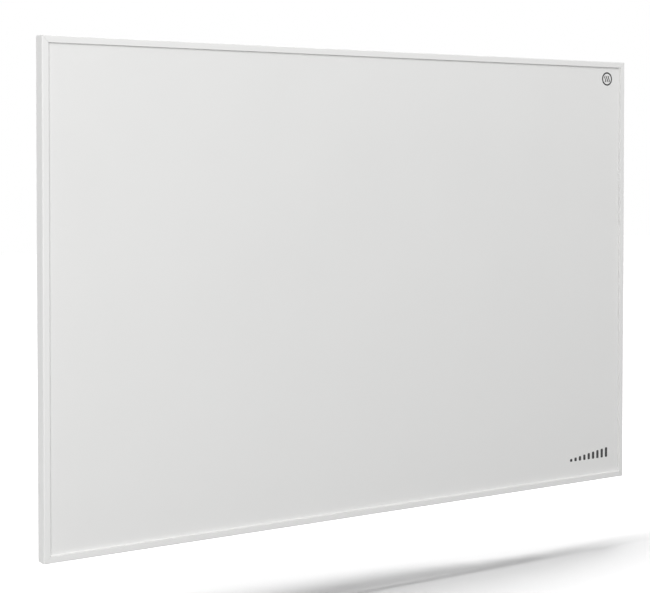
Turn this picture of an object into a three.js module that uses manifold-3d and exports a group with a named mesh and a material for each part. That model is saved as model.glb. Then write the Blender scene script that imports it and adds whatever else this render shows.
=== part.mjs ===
// Infrared panel heater: a flat heated plate in a mitred aluminium frame, with a control box on its
// back, hung by four keyhole brackets on four wall spacers.
// Millimetres. +X points right as seen from the room, -Y points into the room and +Z points up.
// The origin lies on the wall plane, behind the middle of the panel.

import * as THREE from "three";
import { mergeVertices } from "three/addons/utils/BufferGeometryUtils.js";
import Module from "manifold-3d";

// ------------------------------------------------------------------ driving sizes

// Panel
const PANEL_WIDTH = 905;
const PANEL_HEIGHT = 605;
const PANEL_DEPTH = 18;

// Clearances
const LAYER_GAP = 0.1; // between flat sheets stacked in the frame
const SEAT_GAP = 0.3; // between a piece and the hole, stop or seat that holds it

// Frame extrusion: a hollow front bar that takes the corner keys, a ledge that carries the heated
// plate, a channel for the board and the rear cover, and a rear lip
const FRAME_WALL = 1.2;
const FRONT_BAR_WIDTH = 8;
const FRONT_BAR_DEPTH = 6;
const FRONT_BAR_WALL = 1;
const FRONT_BAR_CHAMFER = 0.35;
const LEDGE_WIDTH = 6;
const REAR_LIP_WIDTH = 12;
const REAR_LIP = 1.3;
const FRONT_EDGE_RADIUS = 2.4;
const REAR_EDGE_RADIUS = 0.8;
const MITRE_GAP = 0.12; // each member stops this far short of the mitre plane

// Corner keys
const KEY_LEG = 38;
const KEY_CLEARANCE = 0.2;
const KEY_TIP_CHAMFER = 1;
const KEY_BARBS = 4;
const KEY_BARB_DEPTH = 0.5;
const KEY_BARB_PITCH = 5;

// Heated sandwich, from the room towards the wall
const PLATE_SETBACK = 2.8; // frame's front to the plate's face
const GASKET = 0.8;
const GASKET_SETBACK = 0.4; // gasket edge to the ledge's inner edge
const FRONT_PLATE = 1;
const INSULATING_SHEET = 0.4;
const TRACK_FOIL = 0.4;
const REFLECTOR_FOIL = 0.3;
const REAR_COVER = 0.8;

// Heating track
const TRACK_WIDTH = 24;
const TRACK_COLUMNS = 22; // even, so that the last column runs down to the return
const TRACK_EDGE_MARGIN = 10;
const TRACK_RETURN_GAP = 12;
const TRACK_CORNER_RADIUS = 14;

// Control box
const BOX_WIDTH = 140;
const BOX_HEIGHT = 80;
const BOX_EDGE_INSET = 32.5; // frame side to box side
const BOX_FOOT_INSET = 62.5; // frame bottom to box bottom
const BOX_WALL = 2;
const BOX_FLOOR = 2;
const BOX_LID = 2;
const BOX_CORNER_RADIUS = 6;
const BOX_TO_WALL = 5.7; // lid to the wall plane
const LID_BOSS_RADIUS = 3.6;
const LID_BOSS_INSET = 6; // boss centre from the box side
const LID_RIB_LENGTH = 18;
const LID_RIB_WIDTH = 1.4;
const LID_RIB_DEPTH = 2.5;
const LID_RIB_INSET = 22; // rib centre from the box end
const LID_PANEL_MARGIN = 12;
const LID_PANEL_RISE = 0.8;
const WINDOW_MARGIN_X = 22; // floor window from the box side
const WINDOW_MARGIN_Z = 16;
const EARTH_LAND = 16; // strip of rear cover that shows in the window beside its cut-out
const POCKET_MARGIN = 2; // pocket in the insulation around the rear cover's cut-out
const CUTOUT_CORNER_RADIUS = 3;
const CUT_PAST = 1; // a cutting tool runs this far past the face it cuts

// Lid screws
const LID_SCREW_RADIUS = 1.5;
const LID_SCREW_HEAD_RADIUS = 2.9;
const LID_SCREW_HEAD = 1.9;
const LID_SCREW_LENGTH = 11;

// Rocker switch
const SWITCH_LENGTH = 21; // bezel, along Z
const SWITCH_WIDTH = 15; // bezel, along Y
const SWITCH_BEZEL = 2;
const SWITCH_FLANGE = 1; // bezel past the body on every side
const SWITCH_BEZEL_RADIUS = 2;
const SWITCH_BODY_RADIUS = 0.6;
const SWITCH_BODY_DEPTH = 14;
const SWITCH_SHELL = 1;
const SWITCH_WELL_DEPTH = 6.2;
const ROCKER_TILT = 8; // degrees from level at each end of its travel
const ROCKER_PIVOT_DEPTH = 3; // pivot below the bezel face
const ROCKER_SIDE_GAP = 0.35;
const ROCKER_MIDDLE_HEIGHT = 2.7;
const ROCKER_TIP_ANGLE = 29;
const ROCKER_HUB_RADIUS = 2.2;
const TRUNNION_RADIUS = 1.1;
const TRUNNION_LENGTH = 0.9;
const TERMINAL_BLADE_LENGTH = 7;
const TERMINAL_BLADE_WIDTH = 4.8;
const TERMINAL_BLADE = 0.8;
const TERMINAL_BLADE_OFFSET = 5.5;

// Cable gland
const GLAND_HEX = 19; // across flats
const GLAND_HEX_MARGIN = 0.5; // hex to the floor and to the lid
const GLAND_THREAD_RADIUS = 8;
const GLAND_BORE_RADIUS = 5;
const GLAND_FLANGE = 5;
const GLAND_NECK = 8;
const GLAND_INNER_LENGTH = 7; // thread past the wall's inner face
const GLAND_LOCKNUT = 3;
const GLAND_NUT_HEX_LENGTH = 7;
const GLAND_DOME_LENGTH = 7;
const GLAND_DOME_TIP_RADIUS = 6.8;
const GLAND_DOME_CHAMFER = 1.2;
const GLAND_MOUTH = 1; // straight mouth before the nut's bore widens
const GLAND_SEAL_BORE_RADIUS = 3.8;
const GLAND_SEAL_SETBACK = 1.5; // seal behind the nut's mouth

// Terminal block
const BLOCK_LENGTH = 30;
const BLOCK_WIDTH = 16;
const BLOCK_HEIGHT = 14;
const BLOCK_WAYS = 3;
const BLOCK_PITCH = 9;
const BLOCK_ENTRY_RADIUS = 1.6;
const BLOCK_SCREW_WELL_RADIUS = 1.9;
const BLOCK_SCREW_WELL_DEPTH = 5;
const BLOCK_SHOULDER = 3.5;
const BLOCK_TOP_CHAMFER = 2;
const BLOCK_ENTRY_RISE = 5; // entry axis above the block's foot
const BLOCK_SCREW_OFFSET = 3.6; // clamping screws to the block's middle
const ROUND_TOOL_SIDES = 12;

// Thermostat and thermal fuse
const THERMOSTAT_CAP_RADIUS = 8.2;
const THERMOSTAT_CAP = 3.2;
const THERMOSTAT_BODY_RADIUS = 7.4;
const THERMOSTAT_HEIGHT = 14;
const THERMOSTAT_TAB_LENGTH = 6;
const THERMOSTAT_TAB_OFFSET = 4.5;
const THERMOSTAT_X = 6; // from the middle of the control box
const THERMOSTAT_Z = 8;
const THERMOSTAT_SHOULDER = 0.6;
const TRACK_TAB_GAP = 6; // thermostat cap to each end of the track
const SECOND_TAB_DROP = 4;
const FUSE_RADIUS = 2;
const FUSE_LENGTH = 10;
const FUSE_LEG_RADIUS = 0.6;
const FUSE_LEG_SIDES = 6;
const FUSE_LEG_STEPS = 12;

// Leads and earth stud
const LEAD_RADIUS = 1.1;
const LEAD_SIDES = 8;
const LEAD_STEPS = 20;
const EARTH_STUD_RADIUS = 2;
const EARTH_STUD_FLANGE_RADIUS = 4;
const EARTH_STUD_FLANGE = 1.2;
const EARTH_STUD_LENGTH = 9;
const EARTH_STUD_CHAMFER = 0.5;
const EARTH_NUT_HEX = 7;
const EARTH_NUT = 3.2;
const EARTH_RING_RADIUS = 4.2;
const EARTH_RING = 0.8;

// Keyhole hangers, riveted to the rear cover
const HANGER_HEIGHT = 9; // rear cover to the hanging face
const HANGER_SHEET = 1.5;
const HANGER_CROWN_WIDTH = 40;
const HANGER_FLANGE_WIDTH = 13;
const HANGER_BEND_RADIUS = 2;
const HANGER_TO_BOX = 27; // hanger flange to the side of the control box
const HANGER_EDGE = 112.5; // frame top or bottom to the hanging screws
const HANGER_ABOVE_SCREW = 16;
const HANGER_BELOW_HOLE = 12;
const LIFT = 12; // travel from hanging to lifting off
const KEYHOLE_ENTRY_CLEARANCE = 1;
const KEYHOLE_SEGMENTS = 8;

// Rivets
const RIVET_RADIUS = 2;
const RIVET_HEAD_RADIUS = 4;
const RIVET_HEAD = 1.5;
const RIVET_TAIL_RADIUS = 3;
const RIVET_TAIL = 2;
const RIVET_POCKET_CLEARANCE = 0.6;
const BOX_RIVET_INSET_X = 13;
const BOX_RIVET_INSET_Z = 18;

// Wall spacers and their screws
const SPACER_RADIUS = 9.5;
const SPACER_FOOT_RADIUS = 13;
const SPACER_FOOT = 2.5;
const SPACER_EDGE = 1;
const SPACER_BORE_CLEARANCE = 0.4;
const WALL_SCREW_RADIUS = 2.5;
const WALL_SCREW_HEAD_RADIUS = 5;
const WALL_SCREW_HEAD = 3.2;

// ------------------------------------------------------------------ derived places

const BOX_SIDE = BOX_FLOOR + GLAND_HEX + 2 * GLAND_HEX_MARGIN; // height of the box walls
const COVER_FACE = -(BOX_TO_WALL + BOX_LID + LAYER_GAP + BOX_SIDE + LAYER_GAP); // rear cover's outer face
const PANEL_REAR = COVER_FACE + LAYER_GAP + REAR_LIP;
const PANEL_FRONT = PANEL_REAR - PANEL_DEPTH;

function sheetAt(front, thickness) {
  return { front, thickness, rear: front + thickness };
}
function sheetBehind(sheet, thickness) {
  return sheetAt(sheet.rear + LAYER_GAP, thickness);
}
const plateSheet = sheetAt(PANEL_FRONT + PLATE_SETBACK, FRONT_PLATE);
const gasketSheet = sheetBehind(plateSheet, GASKET);
const frontInsulator = sheetBehind(plateSheet, INSULATING_SHEET);
const trackSheet = sheetBehind(frontInsulator, TRACK_FOIL);
const rearInsulator = sheetBehind(trackSheet, INSULATING_SHEET);
const reflectorSheet = sheetBehind(rearInsulator, REFLECTOR_FOIL);
const coverFront = COVER_FACE - REAR_COVER;
const boardFront = PANEL_FRONT + FRONT_BAR_DEPTH + LAYER_GAP;
const boardSheet = sheetAt(boardFront, coverFront - LAYER_GAP - boardFront);

const chamberWidth = FRONT_BAR_WIDTH - FRAME_WALL - FRONT_BAR_WALL;
const chamberDepth = FRONT_BAR_DEPTH - 2 * FRONT_BAR_WALL;

// The ledge runs round inside the front bar. The plate lies in front of it on the gasket, the films
// and foils lie within it, and the board and the rear cover fill the channel behind it.
const ledgeFront = gasketSheet.rear + LAYER_GAP - PANEL_FRONT;
const ledgeInside = FRONT_BAR_WIDTH + LEDGE_WIDTH;
const plateInset = FRONT_BAR_WIDTH + SEAT_GAP;
const coreInset = ledgeInside + SEAT_GAP;
const channelInset = FRAME_WALL + SEAT_GAP;

const boxX = PANEL_WIDTH / 2 - BOX_EDGE_INSET - BOX_WIDTH / 2;
const boxZ = -PANEL_HEIGHT / 2 + BOX_FOOT_INSET + BOX_HEIGHT / 2;
const boxFront = COVER_FACE + LAYER_GAP;
const floorFace = boxFront + BOX_FLOOR;
const boxRim = boxFront + BOX_SIDE;
const lidFront = boxRim + LAYER_GAP;
const fittingY = floorFace + GLAND_HEX_MARGIN + GLAND_HEX / 2; // middle of gland and switch

// The window in the box floor and the cut-out of the rear cover inside it, about the box's middle.
const windowHalfWidth = BOX_WIDTH / 2 - WINDOW_MARGIN_X;
const windowHalfHeight = BOX_HEIGHT / 2 - WINDOW_MARGIN_Z;
const cutoutLeft = -windowHalfWidth + EARTH_LAND;
const cutoutRight = windowHalfWidth;

const hangerHalfWidth = HANGER_CROWN_WIDTH / 2 + HANGER_FLANGE_WIDTH;
const hangerX = boxX - BOX_WIDTH / 2 - HANGER_TO_BOX - hangerHalfWidth;
const hangerZ = PANEL_HEIGHT / 2 - HANGER_EDGE;
const hangerFace = COVER_FACE + LAYER_GAP + HANGER_HEIGHT;
const hangerPlaces = [
  { x: -hangerX, z: hangerZ },
  { x: hangerX, z: hangerZ },
  { x: -hangerX, z: -hangerZ },
  { x: hangerX, z: -hangerZ },
];
const keyholeEntryRadius = WALL_SCREW_HEAD_RADIUS + KEYHOLE_ENTRY_CLEARANCE;
const hangerTop = HANGER_ABOVE_SCREW;
const hangerBottom = -LIFT - HANGER_BELOW_HOLE;
const rivetSide = HANGER_CROWN_WIDTH / 2 + HANGER_FLANGE_WIDTH / 2;
const rivetRise = (hangerTop + hangerBottom) / 2;

const spacerLength = -(hangerFace + SEAT_GAP);
const screwHeadFace = hangerFace - HANGER_SHEET - SEAT_GAP;

const rivetPlaces = [
  ...hangerPlaces.flatMap(({ x, z }) => [
    { x: x - rivetSide, z: z + rivetRise },
    { x: x + rivetSide, z: z + rivetRise },
  ]),
  ...[-1, 1].map((side) => ({
    x: boxX + side * (BOX_WIDTH / 2 - BOX_RIVET_INSET_X),
    z: boxZ - side * (BOX_HEIGHT / 2 - BOX_RIVET_INSET_Z),
  })),
];

// ------------------------------------------------------------------ materials

function finish(color, roughness, metalness = 0) {
  return new THREE.MeshStandardMaterial({ color, roughness, metalness });
}
const whitePaint = finish(0xe9e9e7, 0.42);
const whiteProfile = finish(0xebebe9, 0.38);
const foamTape = finish(0xd9d9d6, 0.95);
const polyesterFilm = finish(0xe6dcae, 0.35);
const etchedFoil = finish(0xb08a5a, 0.35, 0.9);
const brightFoil = finish(0xd9dcdf, 0.2, 1);
const mineralBoard = finish(0xc9b98c, 0.95);
const galvanised = finish(0xb4b8bb, 0.4, 0.9);
const zincPlated = finish(0xc2c5c6, 0.3, 0.95);
const keyAlloy = finish(0x9c9fa2, 0.5, 0.8);
const whitePlastic = finish(0xe2e2de, 0.5);
const blackPlastic = finish(0x1d1d1f, 0.4);
const greyNylon = finish(0x8c8f91, 0.5);
const sealRubber = finish(0x2a2a2a, 0.8);
const phenolic = finish(0x3b2a22, 0.5);
const ceramic = finish(0xe8e4da, 0.3);
const redSilicone = finish(0x9a2a22, 0.5);
const blueSilicone = finish(0x2c4f9a, 0.5);
const greenSilicone = finish(0x6e9a2c, 0.5);

// ------------------------------------------------------------------ solid helpers

const kernel = await Module();
kernel.setup();

const WELD = 1e-4;
const SMALL_RADIUS = 4;
const SMALL_ROUND_SIDES = 12;
const LARGE_ROUND_SIDES = 20;
const SCREW_SEGMENTS = 16;
const SPACER_SEGMENTS = 24;

function toSolid(geometry) {
  const bare = geometry.index ? geometry.toNonIndexed() : geometry.clone();
  for (const name of Object.keys(bare.attributes)) {
    if (name !== "position") bare.deleteAttribute(name);
  }
  const merged = mergeVertices(bare, WELD);
  return new kernel.Manifold(
    new kernel.Mesh({
      numProp: 3,
      vertProperties: merged.attributes.position.array,
      triVerts: new Uint32Array(merged.index.array),
    }),
  );
}

function toGeometry(solid) {
  const mesh = solid.getMesh();
  const geometry = new THREE.BufferGeometry();
  geometry.setAttribute("position", new THREE.BufferAttribute(mesh.vertProperties, 3));
  geometry.setIndex(new THREE.BufferAttribute(mesh.triVerts, 1));
  geometry.computeVertexNormals();
  return geometry;
}

function cut(geometry, tools) {
  return toGeometry(tools.reduce((solid, tool) => solid.subtract(toSolid(tool)), toSolid(geometry)));
}

function join(geometries) {
  return toGeometry(geometries.map(toSolid).reduce((sum, solid) => sum.add(solid)));
}

// A rectangle about a centre, with round corners where a radius is given.
function rectangle(width, height, radius = 0, centreX = 0, centreY = 0) {
  const shape = new THREE.Shape();
  const right = centreX + width / 2;
  const top = centreY + height / 2;
  const left = centreX - width / 2;
  const bottom = centreY - height / 2;
  if (radius === 0) {
    shape.moveTo(left, bottom).lineTo(right, bottom).lineTo(right, top).lineTo(left, top);
    return shape.closePath();
  }
  shape.absarc(right - radius, bottom + radius, radius, -Math.PI / 2, 0);
  shape.absarc(right - radius, top - radius, radius, 0, Math.PI / 2);
  shape.absarc(left + radius, top - radius, radius, Math.PI / 2, Math.PI);
  shape.absarc(left + radius, bottom + radius, radius, Math.PI, 1.5 * Math.PI);
  return shape.closePath();
}

// A regular outline about a centre, with its corners on the radius.
function polygon(sides, radius, centreX = 0, centreY = 0) {
  return new THREE.Shape(
    Array.from({ length: sides }, (_, i) => {
      const angle = (2 * Math.PI * i) / sides;
      const x = centreX + radius * Math.cos(angle);
      const y = centreY + radius * Math.sin(angle);
      return new THREE.Vector2(x, y);
    }),
  );
}

function hexagon(acrossFlats) {
  return polygon(6, acrossFlats / 2 / Math.cos(Math.PI / 6));
}

function roundSides(radius) {
  return radius > SMALL_RADIUS ? LARGE_ROUND_SIDES : SMALL_ROUND_SIDES;
}

function disc(radius, centreX, centreY) {
  return polygon(roundSides(radius), radius, centreX, centreY);
}

// A round hole whose flats, and not its corners, lie on the radius.
function hole(radius, centreX, centreY) {
  const sides = roundSides(radius);
  return polygon(sides, radius / Math.cos(Math.PI / sides), centreX, centreY);
}

// An outline given in x and y, made thick along +Z.
function extruded(outline, depth, curveSegments = 2) {
  return new THREE.ExtrudeGeometry(outline, { depth, bevelEnabled: false, curveSegments });
}

// An outline given in x and z, made thick from its front face towards the wall.
function slab(outline, front, thickness, curveSegments = 2) {
  return extruded(outline, thickness, curveSegments)
    .rotateX(Math.PI / 2)
    .translate(0, front + thickness, 0);
}

// A profile of [radius, height] points turned about the Y axis.
function turned(profile, segments = LARGE_ROUND_SIDES) {
  const points = profile.map(([radius, height]) => new THREE.Vector2(radius, height));
  if (THREE.ShapeUtils.area(points) < 0) points.reverse();
  const hollow = points.every((point) => point.x > 0);
  if (hollow) points.push(points[0].clone());
  return new THREE.LatheGeometry(points, segments);
}

// A round wire or lead through its points.
function wire(points, radius, sides = LEAD_SIDES, steps = LEAD_STEPS) {
  const path = new THREE.CatmullRomCurve3(
    points.map(([x, y, z]) => new THREE.Vector3(x, y, z)),
    false,
    "centripetal",
  );
  const section = polygon(sides, radius);
  return new THREE.ExtrudeGeometry(section, { steps, extrudePath: path, curveSegments: 1 });
}

function named(name, geometry, material, x = 0, y = 0, z = 0) {
  const mesh = new THREE.Mesh(geometry, material);
  mesh.name = name;
  mesh.position.set(x, y, z);
  return mesh;
}

// ------------------------------------------------------------------ frame

// Section of the extrusion: x runs inwards from the frame's side, y from its front to its rear.
function frameSection() {
  const section = new THREE.Shape();
  section.moveTo(ledgeInside, FRONT_BAR_DEPTH);
  section.lineTo(ledgeInside, ledgeFront);
  section.lineTo(FRONT_BAR_WIDTH, ledgeFront);
  section.lineTo(FRONT_BAR_WIDTH, FRONT_BAR_CHAMFER);
  section.lineTo(FRONT_BAR_WIDTH - FRONT_BAR_CHAMFER, 0);
  section.absarc(
    FRONT_EDGE_RADIUS,
    FRONT_EDGE_RADIUS,
    FRONT_EDGE_RADIUS,
    -Math.PI / 2,
    -Math.PI,
    true,
  );
  section.absarc(
    REAR_EDGE_RADIUS,
    PANEL_DEPTH - REAR_EDGE_RADIUS,
    REAR_EDGE_RADIUS,
    Math.PI,
    Math.PI / 2,
    true,
  );
  section.lineTo(REAR_LIP_WIDTH, PANEL_DEPTH);
  section.lineTo(REAR_LIP_WIDTH, PANEL_DEPTH - REAR_LIP);
  section.lineTo(FRAME_WALL, PANEL_DEPTH - REAR_LIP);
  section.lineTo(FRAME_WALL, FRONT_BAR_DEPTH);
  section.closePath();
  section.holes.push(
    rectangle(
      chamberWidth,
      chamberDepth,
      0,
      FRAME_WALL + chamberWidth / 2,
      FRONT_BAR_WALL + chamberDepth / 2,
    ),
  );
  return section;
}

// A member of the frame along Z. Each end is cut at 45 degrees: a point further in is further back.
function frameMember(length) {
  const geometry = extruded(frameSection(), length, 4).translate(0, 0, -length / 2);
  const position = geometry.attributes.position;
  for (let i = 0; i < position.count; i += 1) {
    const end = length / 2 - position.getX(i) - MITRE_GAP;
    position.setZ(i, Math.sign(position.getZ(i)) * end);
  }
  return geometry;
}

// An L of two legs for the bars' chambers, with sawtooth barbs on the inner sides.
function cornerKey() {
  const near = FRAME_WALL + KEY_CLEARANCE;
  const far = FRAME_WALL + chamberWidth - KEY_CLEARANCE;
  const tip = near + KEY_LEG;
  const barbs = Array.from({ length: KEY_BARBS }, (_, i) => tip - KEY_BARB_PITCH * (i + 1));
  const outline = new THREE.Shape();
  outline.moveTo(near, near);
  outline.lineTo(tip, near);
  outline.lineTo(tip, far - KEY_TIP_CHAMFER);
  outline.lineTo(tip - KEY_TIP_CHAMFER, far);
  for (const at of barbs) {
    outline.lineTo(at, far);
    outline.lineTo(at, far - KEY_BARB_DEPTH);
    outline.lineTo(at - KEY_BARB_PITCH / 2, far);
  }
  outline.lineTo(far, far);
  for (const at of barbs.toReversed()) {
    outline.lineTo(far, at - KEY_BARB_PITCH / 2);
    outline.lineTo(far - KEY_BARB_DEPTH, at);
    outline.lineTo(far, at);
  }
  outline.lineTo(far, tip - KEY_TIP_CHAMFER);
  outline.lineTo(far - KEY_TIP_CHAMFER, tip);
  outline.lineTo(near, tip);
  outline.closePath();
  const front = PANEL_FRONT + FRONT_BAR_WALL + KEY_CLEARANCE;
  return slab(outline, front, chamberDepth - 2 * KEY_CLEARANCE);
}

function buildFrame() {
  const frame = new THREE.Group();
  const upright = frameMember(PANEL_HEIGHT);
  const rail = frameMember(PANEL_WIDTH);
  const members = [
    ["frame_left", upright, -PANEL_WIDTH / 2, 0, 0],
    ["frame_right", upright, PANEL_WIDTH / 2, 0, Math.PI],
    ["frame_bottom", rail, 0, -PANEL_HEIGHT / 2, -Math.PI / 2],
    ["frame_top", rail, 0, PANEL_HEIGHT / 2, Math.PI / 2],
  ];
  for (const [name, geometry, x, z, turn] of members) {
    const member = named(name, geometry, whiteProfile, x, PANEL_FRONT, z);
    member.rotation.y = turn;
    frame.add(member);
  }
  const key = cornerKey();
  const corners = [
    ["corner_key_bottom_left", -1, -1, 0],
    ["corner_key_top_left", -1, 1, Math.PI / 2],
    ["corner_key_top_right", 1, 1, Math.PI],
    ["corner_key_bottom_right", 1, -1, -Math.PI / 2],
  ];
  for (const [name, sideX, sideZ, turn] of corners) {
    const x = (sideX * PANEL_WIDTH) / 2;
    const z = (sideZ * PANEL_HEIGHT) / 2;
    const corner = named(name, key, keyAlloy, x, 0, z);
    corner.rotation.y = turn;
    frame.add(corner);
  }
  return frame;
}

// ------------------------------------------------------------------ heated sandwich

// The centre line of the track: in from the first tab, up and down the columns from right to left,
// and back along the bottom to the second tab. Columns above the control box stop short of it.
function trackCentreLine() {
  const right = PANEL_WIDTH / 2 - coreInset - TRACK_EDGE_MARGIN - TRACK_WIDTH / 2;
  const top = PANEL_HEIGHT / 2 - coreInset - TRACK_EDGE_MARGIN - TRACK_WIDTH / 2;
  const pitch = (2 * right) / (TRACK_COLUMNS - 1);
  const returnZ = -top;
  const bottom = returnZ + TRACK_WIDTH + TRACK_RETURN_GAP;
  const pocketLeft = boxX + cutoutLeft - POCKET_MARGIN - TRACK_WIDTH;
  const pocketTop = boxZ + windowHalfHeight + POCKET_MARGIN + TRACK_RETURN_GAP + TRACK_WIDTH / 2;
  const points = [
    [firstTab.x, firstTab.z],
    [right, firstTab.z],
  ];
  for (let column = 0; column < TRACK_COLUMNS; column += 2) {
    const upX = right - column * pitch;
    const downX = upX - pitch;
    const lastColumn = column === TRACK_COLUMNS - 2;
    const low = downX > pocketLeft ? pocketTop : bottom;
    points.push([upX, top], [downX, top]);
    if (!lastColumn) points.push([downX, low], [downX - pitch, low]);
    if (lastColumn) points.push([downX, returnZ]);
  }
  points.push([secondTab.x, returnZ], [secondTab.x, secondTab.z]);
  return points.map(([x, z]) => new THREE.Vector2(x, z));
}

// The same line with each right-angled corner turned on an arc.
function roundCorners(points, radius, steps = 2) {
  const path = [points[0]];
  for (let i = 1; i < points.length - 1; i += 1) {
    const inward = points[i].clone().sub(points[i - 1]).normalize();
    const outward = points[i + 1].clone().sub(points[i]).normalize();
    const centre = points[i].clone().addScaledVector(inward, -radius).addScaledVector(outward, radius);
    for (let step = 0; step <= steps; step += 1) {
      const angle = (Math.PI / 2) * (step / steps);
      path.push(
        centre
          .clone()
          .addScaledVector(outward, -radius * Math.cos(angle))
          .addScaledVector(inward, radius * Math.sin(angle)),
      );
    }
  }
  path.push(points[points.length - 1]);
  return path;
}

// A flat band of one width along a path.
function ribbon(path, width) {
  const left = [];
  const right = [];
  path.forEach((point, i) => {
    const before = path[Math.max(i - 1, 0)];
    const after = path[Math.min(i + 1, path.length - 1)];
    const along = after.clone().sub(before).normalize();
    const across = new THREE.Vector2(-along.y, along.x).multiplyScalar(width / 2);
    left.push(point.clone().add(across));
    right.push(point.clone().sub(across));
  });
  return new THREE.Shape([...right, ...left.reverse()]);
}

// Tabs at the track's two ends, in the pocket behind the control box.
const thermostatPlace = { x: boxX + THERMOSTAT_X, z: boxZ + THERMOSTAT_Z };
const firstTab = {
  x: thermostatPlace.x + THERMOSTAT_CAP_RADIUS + TRACK_TAB_GAP,
  z: boxZ + TRACK_WIDTH / 2,
};
const secondTab = {
  x: thermostatPlace.x - THERMOSTAT_CAP_RADIUS - TRACK_TAB_GAP - TRACK_WIDTH / 2,
  z: boxZ - SECOND_TAB_DROP,
};

// A sheet that stops this far inside the frame's outer sides.
function sheetOutline(inset) {
  return rectangle(PANEL_WIDTH - 2 * inset, PANEL_HEIGHT - 2 * inset);
}

// The rear cover's cut-out, or the pocket around it in the layers before it.
function cutout(margin) {
  return rectangle(
    cutoutRight - cutoutLeft + 2 * margin,
    2 * (windowHalfHeight + margin),
    CUTOUT_CORNER_RADIUS,
    boxX + (cutoutLeft + cutoutRight) / 2,
    boxZ,
  );
}

function buildSandwich() {
  const sandwich = new THREE.Group();

  const gasket = sheetOutline(plateInset);
  gasket.holes.push(sheetOutline(ledgeInside - GASKET_SETBACK));

  const track = ribbon(roundCorners(trackCentreLine(), TRACK_CORNER_RADIUS), TRACK_WIDTH);

  const pocketed = sheetOutline(coreInset);
  pocketed.holes.push(cutout(POCKET_MARGIN));

  const boardOutline = sheetOutline(channelInset);
  boardOutline.holes.push(cutout(POCKET_MARGIN));

  const cover = sheetOutline(channelInset);
  cover.holes.push(cutout(0));
  for (const { x, z } of rivetPlaces) cover.holes.push(hole(RIVET_RADIUS + SEAT_GAP, x, z));

  // Each rivet's tail presses its own blind pocket in the board.
  const tailPockets = rivetPlaces.map(({ x, z }) => {
    const depth = RIVET_TAIL + LAYER_GAP + RIVET_POCKET_CLEARANCE;
    const pocket = hole(RIVET_TAIL_RADIUS + RIVET_POCKET_CLEARANCE, x, z);
    return slab(pocket, boardSheet.rear - depth, depth + SEAT_GAP);
  });
  const board = cut(slab(boardOutline, boardSheet.front, boardSheet.thickness), tailPockets);

  sandwich.add(
    named("plate_gasket", slab(gasket, gasketSheet.front, GASKET), foamTape),
    named("front_plate", slab(sheetOutline(plateInset), plateSheet.front, FRONT_PLATE), whitePaint),
    named(
      "insulating_sheet_front",
      slab(sheetOutline(coreInset), frontInsulator.front, INSULATING_SHEET),
      polyesterFilm,
    ),
    named("heating_track", slab(track, trackSheet.front, TRACK_FOIL), etchedFoil),
    named(
      "insulating_sheet_rear",
      slab(pocketed, rearInsulator.front, INSULATING_SHEET),
      polyesterFilm,
    ),
    named("reflector_foil", slab(pocketed, reflectorSheet.front, REFLECTOR_FOIL), brightFoil),
    named("insulation_board", board, mineralBoard),
    named("rear_cover", slab(cover, coverFront, REAR_COVER), galvanised),
  );
  return sandwich;
}

// ------------------------------------------------------------------ rivets and screws

// A blind rivet about its own axis. Height 0 is the face that its head clamps, and the tail lies
// beyond the clamped sheets.
function rivet(grip) {
  const tailStart = -(grip + LAYER_GAP);
  return turned(
    [
      [0, tailStart - RIVET_TAIL],
      [RIVET_TAIL_RADIUS, tailStart - RIVET_TAIL * 0.6],
      [RIVET_TAIL_RADIUS, tailStart],
      [RIVET_RADIUS, tailStart],
      [RIVET_RADIUS, LAYER_GAP],
      [RIVET_HEAD_RADIUS, LAYER_GAP],
      [RIVET_HEAD_RADIUS * 0.8, LAYER_GAP + RIVET_HEAD * 0.7],
      [0, LAYER_GAP + RIVET_HEAD],
    ],
    SMALL_ROUND_SIDES,
  );
}

// A pan-head screw about its own axis. Height 0 is the face under the head.
function panHeadScrew(headRadius, headHeight, shankRadius, length) {
  return turned(
    [
      [0, -length],
      [shankRadius, -length],
      [shankRadius, 0],
      [headRadius, 0],
      [headRadius, headHeight * 0.45],
      [headRadius * 0.86, headHeight * 0.8],
      [headRadius * 0.6, headHeight],
      [0, headHeight],
    ],
    SCREW_SEGMENTS,
  );
}

// ------------------------------------------------------------------ hangers

// Section of the pressed hanger: a top hat, x across it and y from the rear cover to the wall.
function hangerSection() {
  const inner = HANGER_BEND_RADIUS - HANGER_SHEET;
  const outer = HANGER_BEND_RADIUS;
  const leg = HANGER_CROWN_WIDTH / 2;
  const foot = hangerHalfWidth;
  const side = (mirror) => {
    const points = new THREE.Path();
    points.moveTo(foot, 0);
    points.lineTo(foot, HANGER_SHEET);
    points.absarc(leg + inner, HANGER_SHEET + inner, inner, -Math.PI / 2, -Math.PI, true);
    points.absarc(leg - outer, HANGER_HEIGHT - outer, outer, 0, Math.PI / 2);
    const under = new THREE.Path();
    under.absarc(leg - outer, HANGER_HEIGHT - outer, inner, Math.PI / 2, 0, true);
    under.absarc(leg + inner, HANGER_SHEET + inner, outer, -Math.PI, -Math.PI / 2);
    under.lineTo(foot, 0);
    const flip = (point) => new THREE.Vector2(mirror * point.x, point.y);
    return { over: points.getPoints(2).map(flip), under: under.getPoints(2).map(flip) };
  };
  const right = side(1);
  const left = side(-1);
  return new THREE.Shape([
    ...right.over,
    ...left.over.toReversed(),
    ...left.under.toReversed(),
    ...right.under.slice(0, -1),
  ]);
}

// The slot that hangs on a wall screw, opening below into a hole that its head passes.
function keyhole() {
  const slotRadius = WALL_SCREW_RADIUS + SEAT_GAP;
  const meet = Math.asin(slotRadius / keyholeEntryRadius);
  const outline = new THREE.Shape();
  outline.absarc(0, 0, slotRadius, 0, Math.PI);
  outline.absarc(0, -LIFT, keyholeEntryRadius, Math.PI / 2 + meet, 2.5 * Math.PI - meet);
  return outline.closePath();
}

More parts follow.
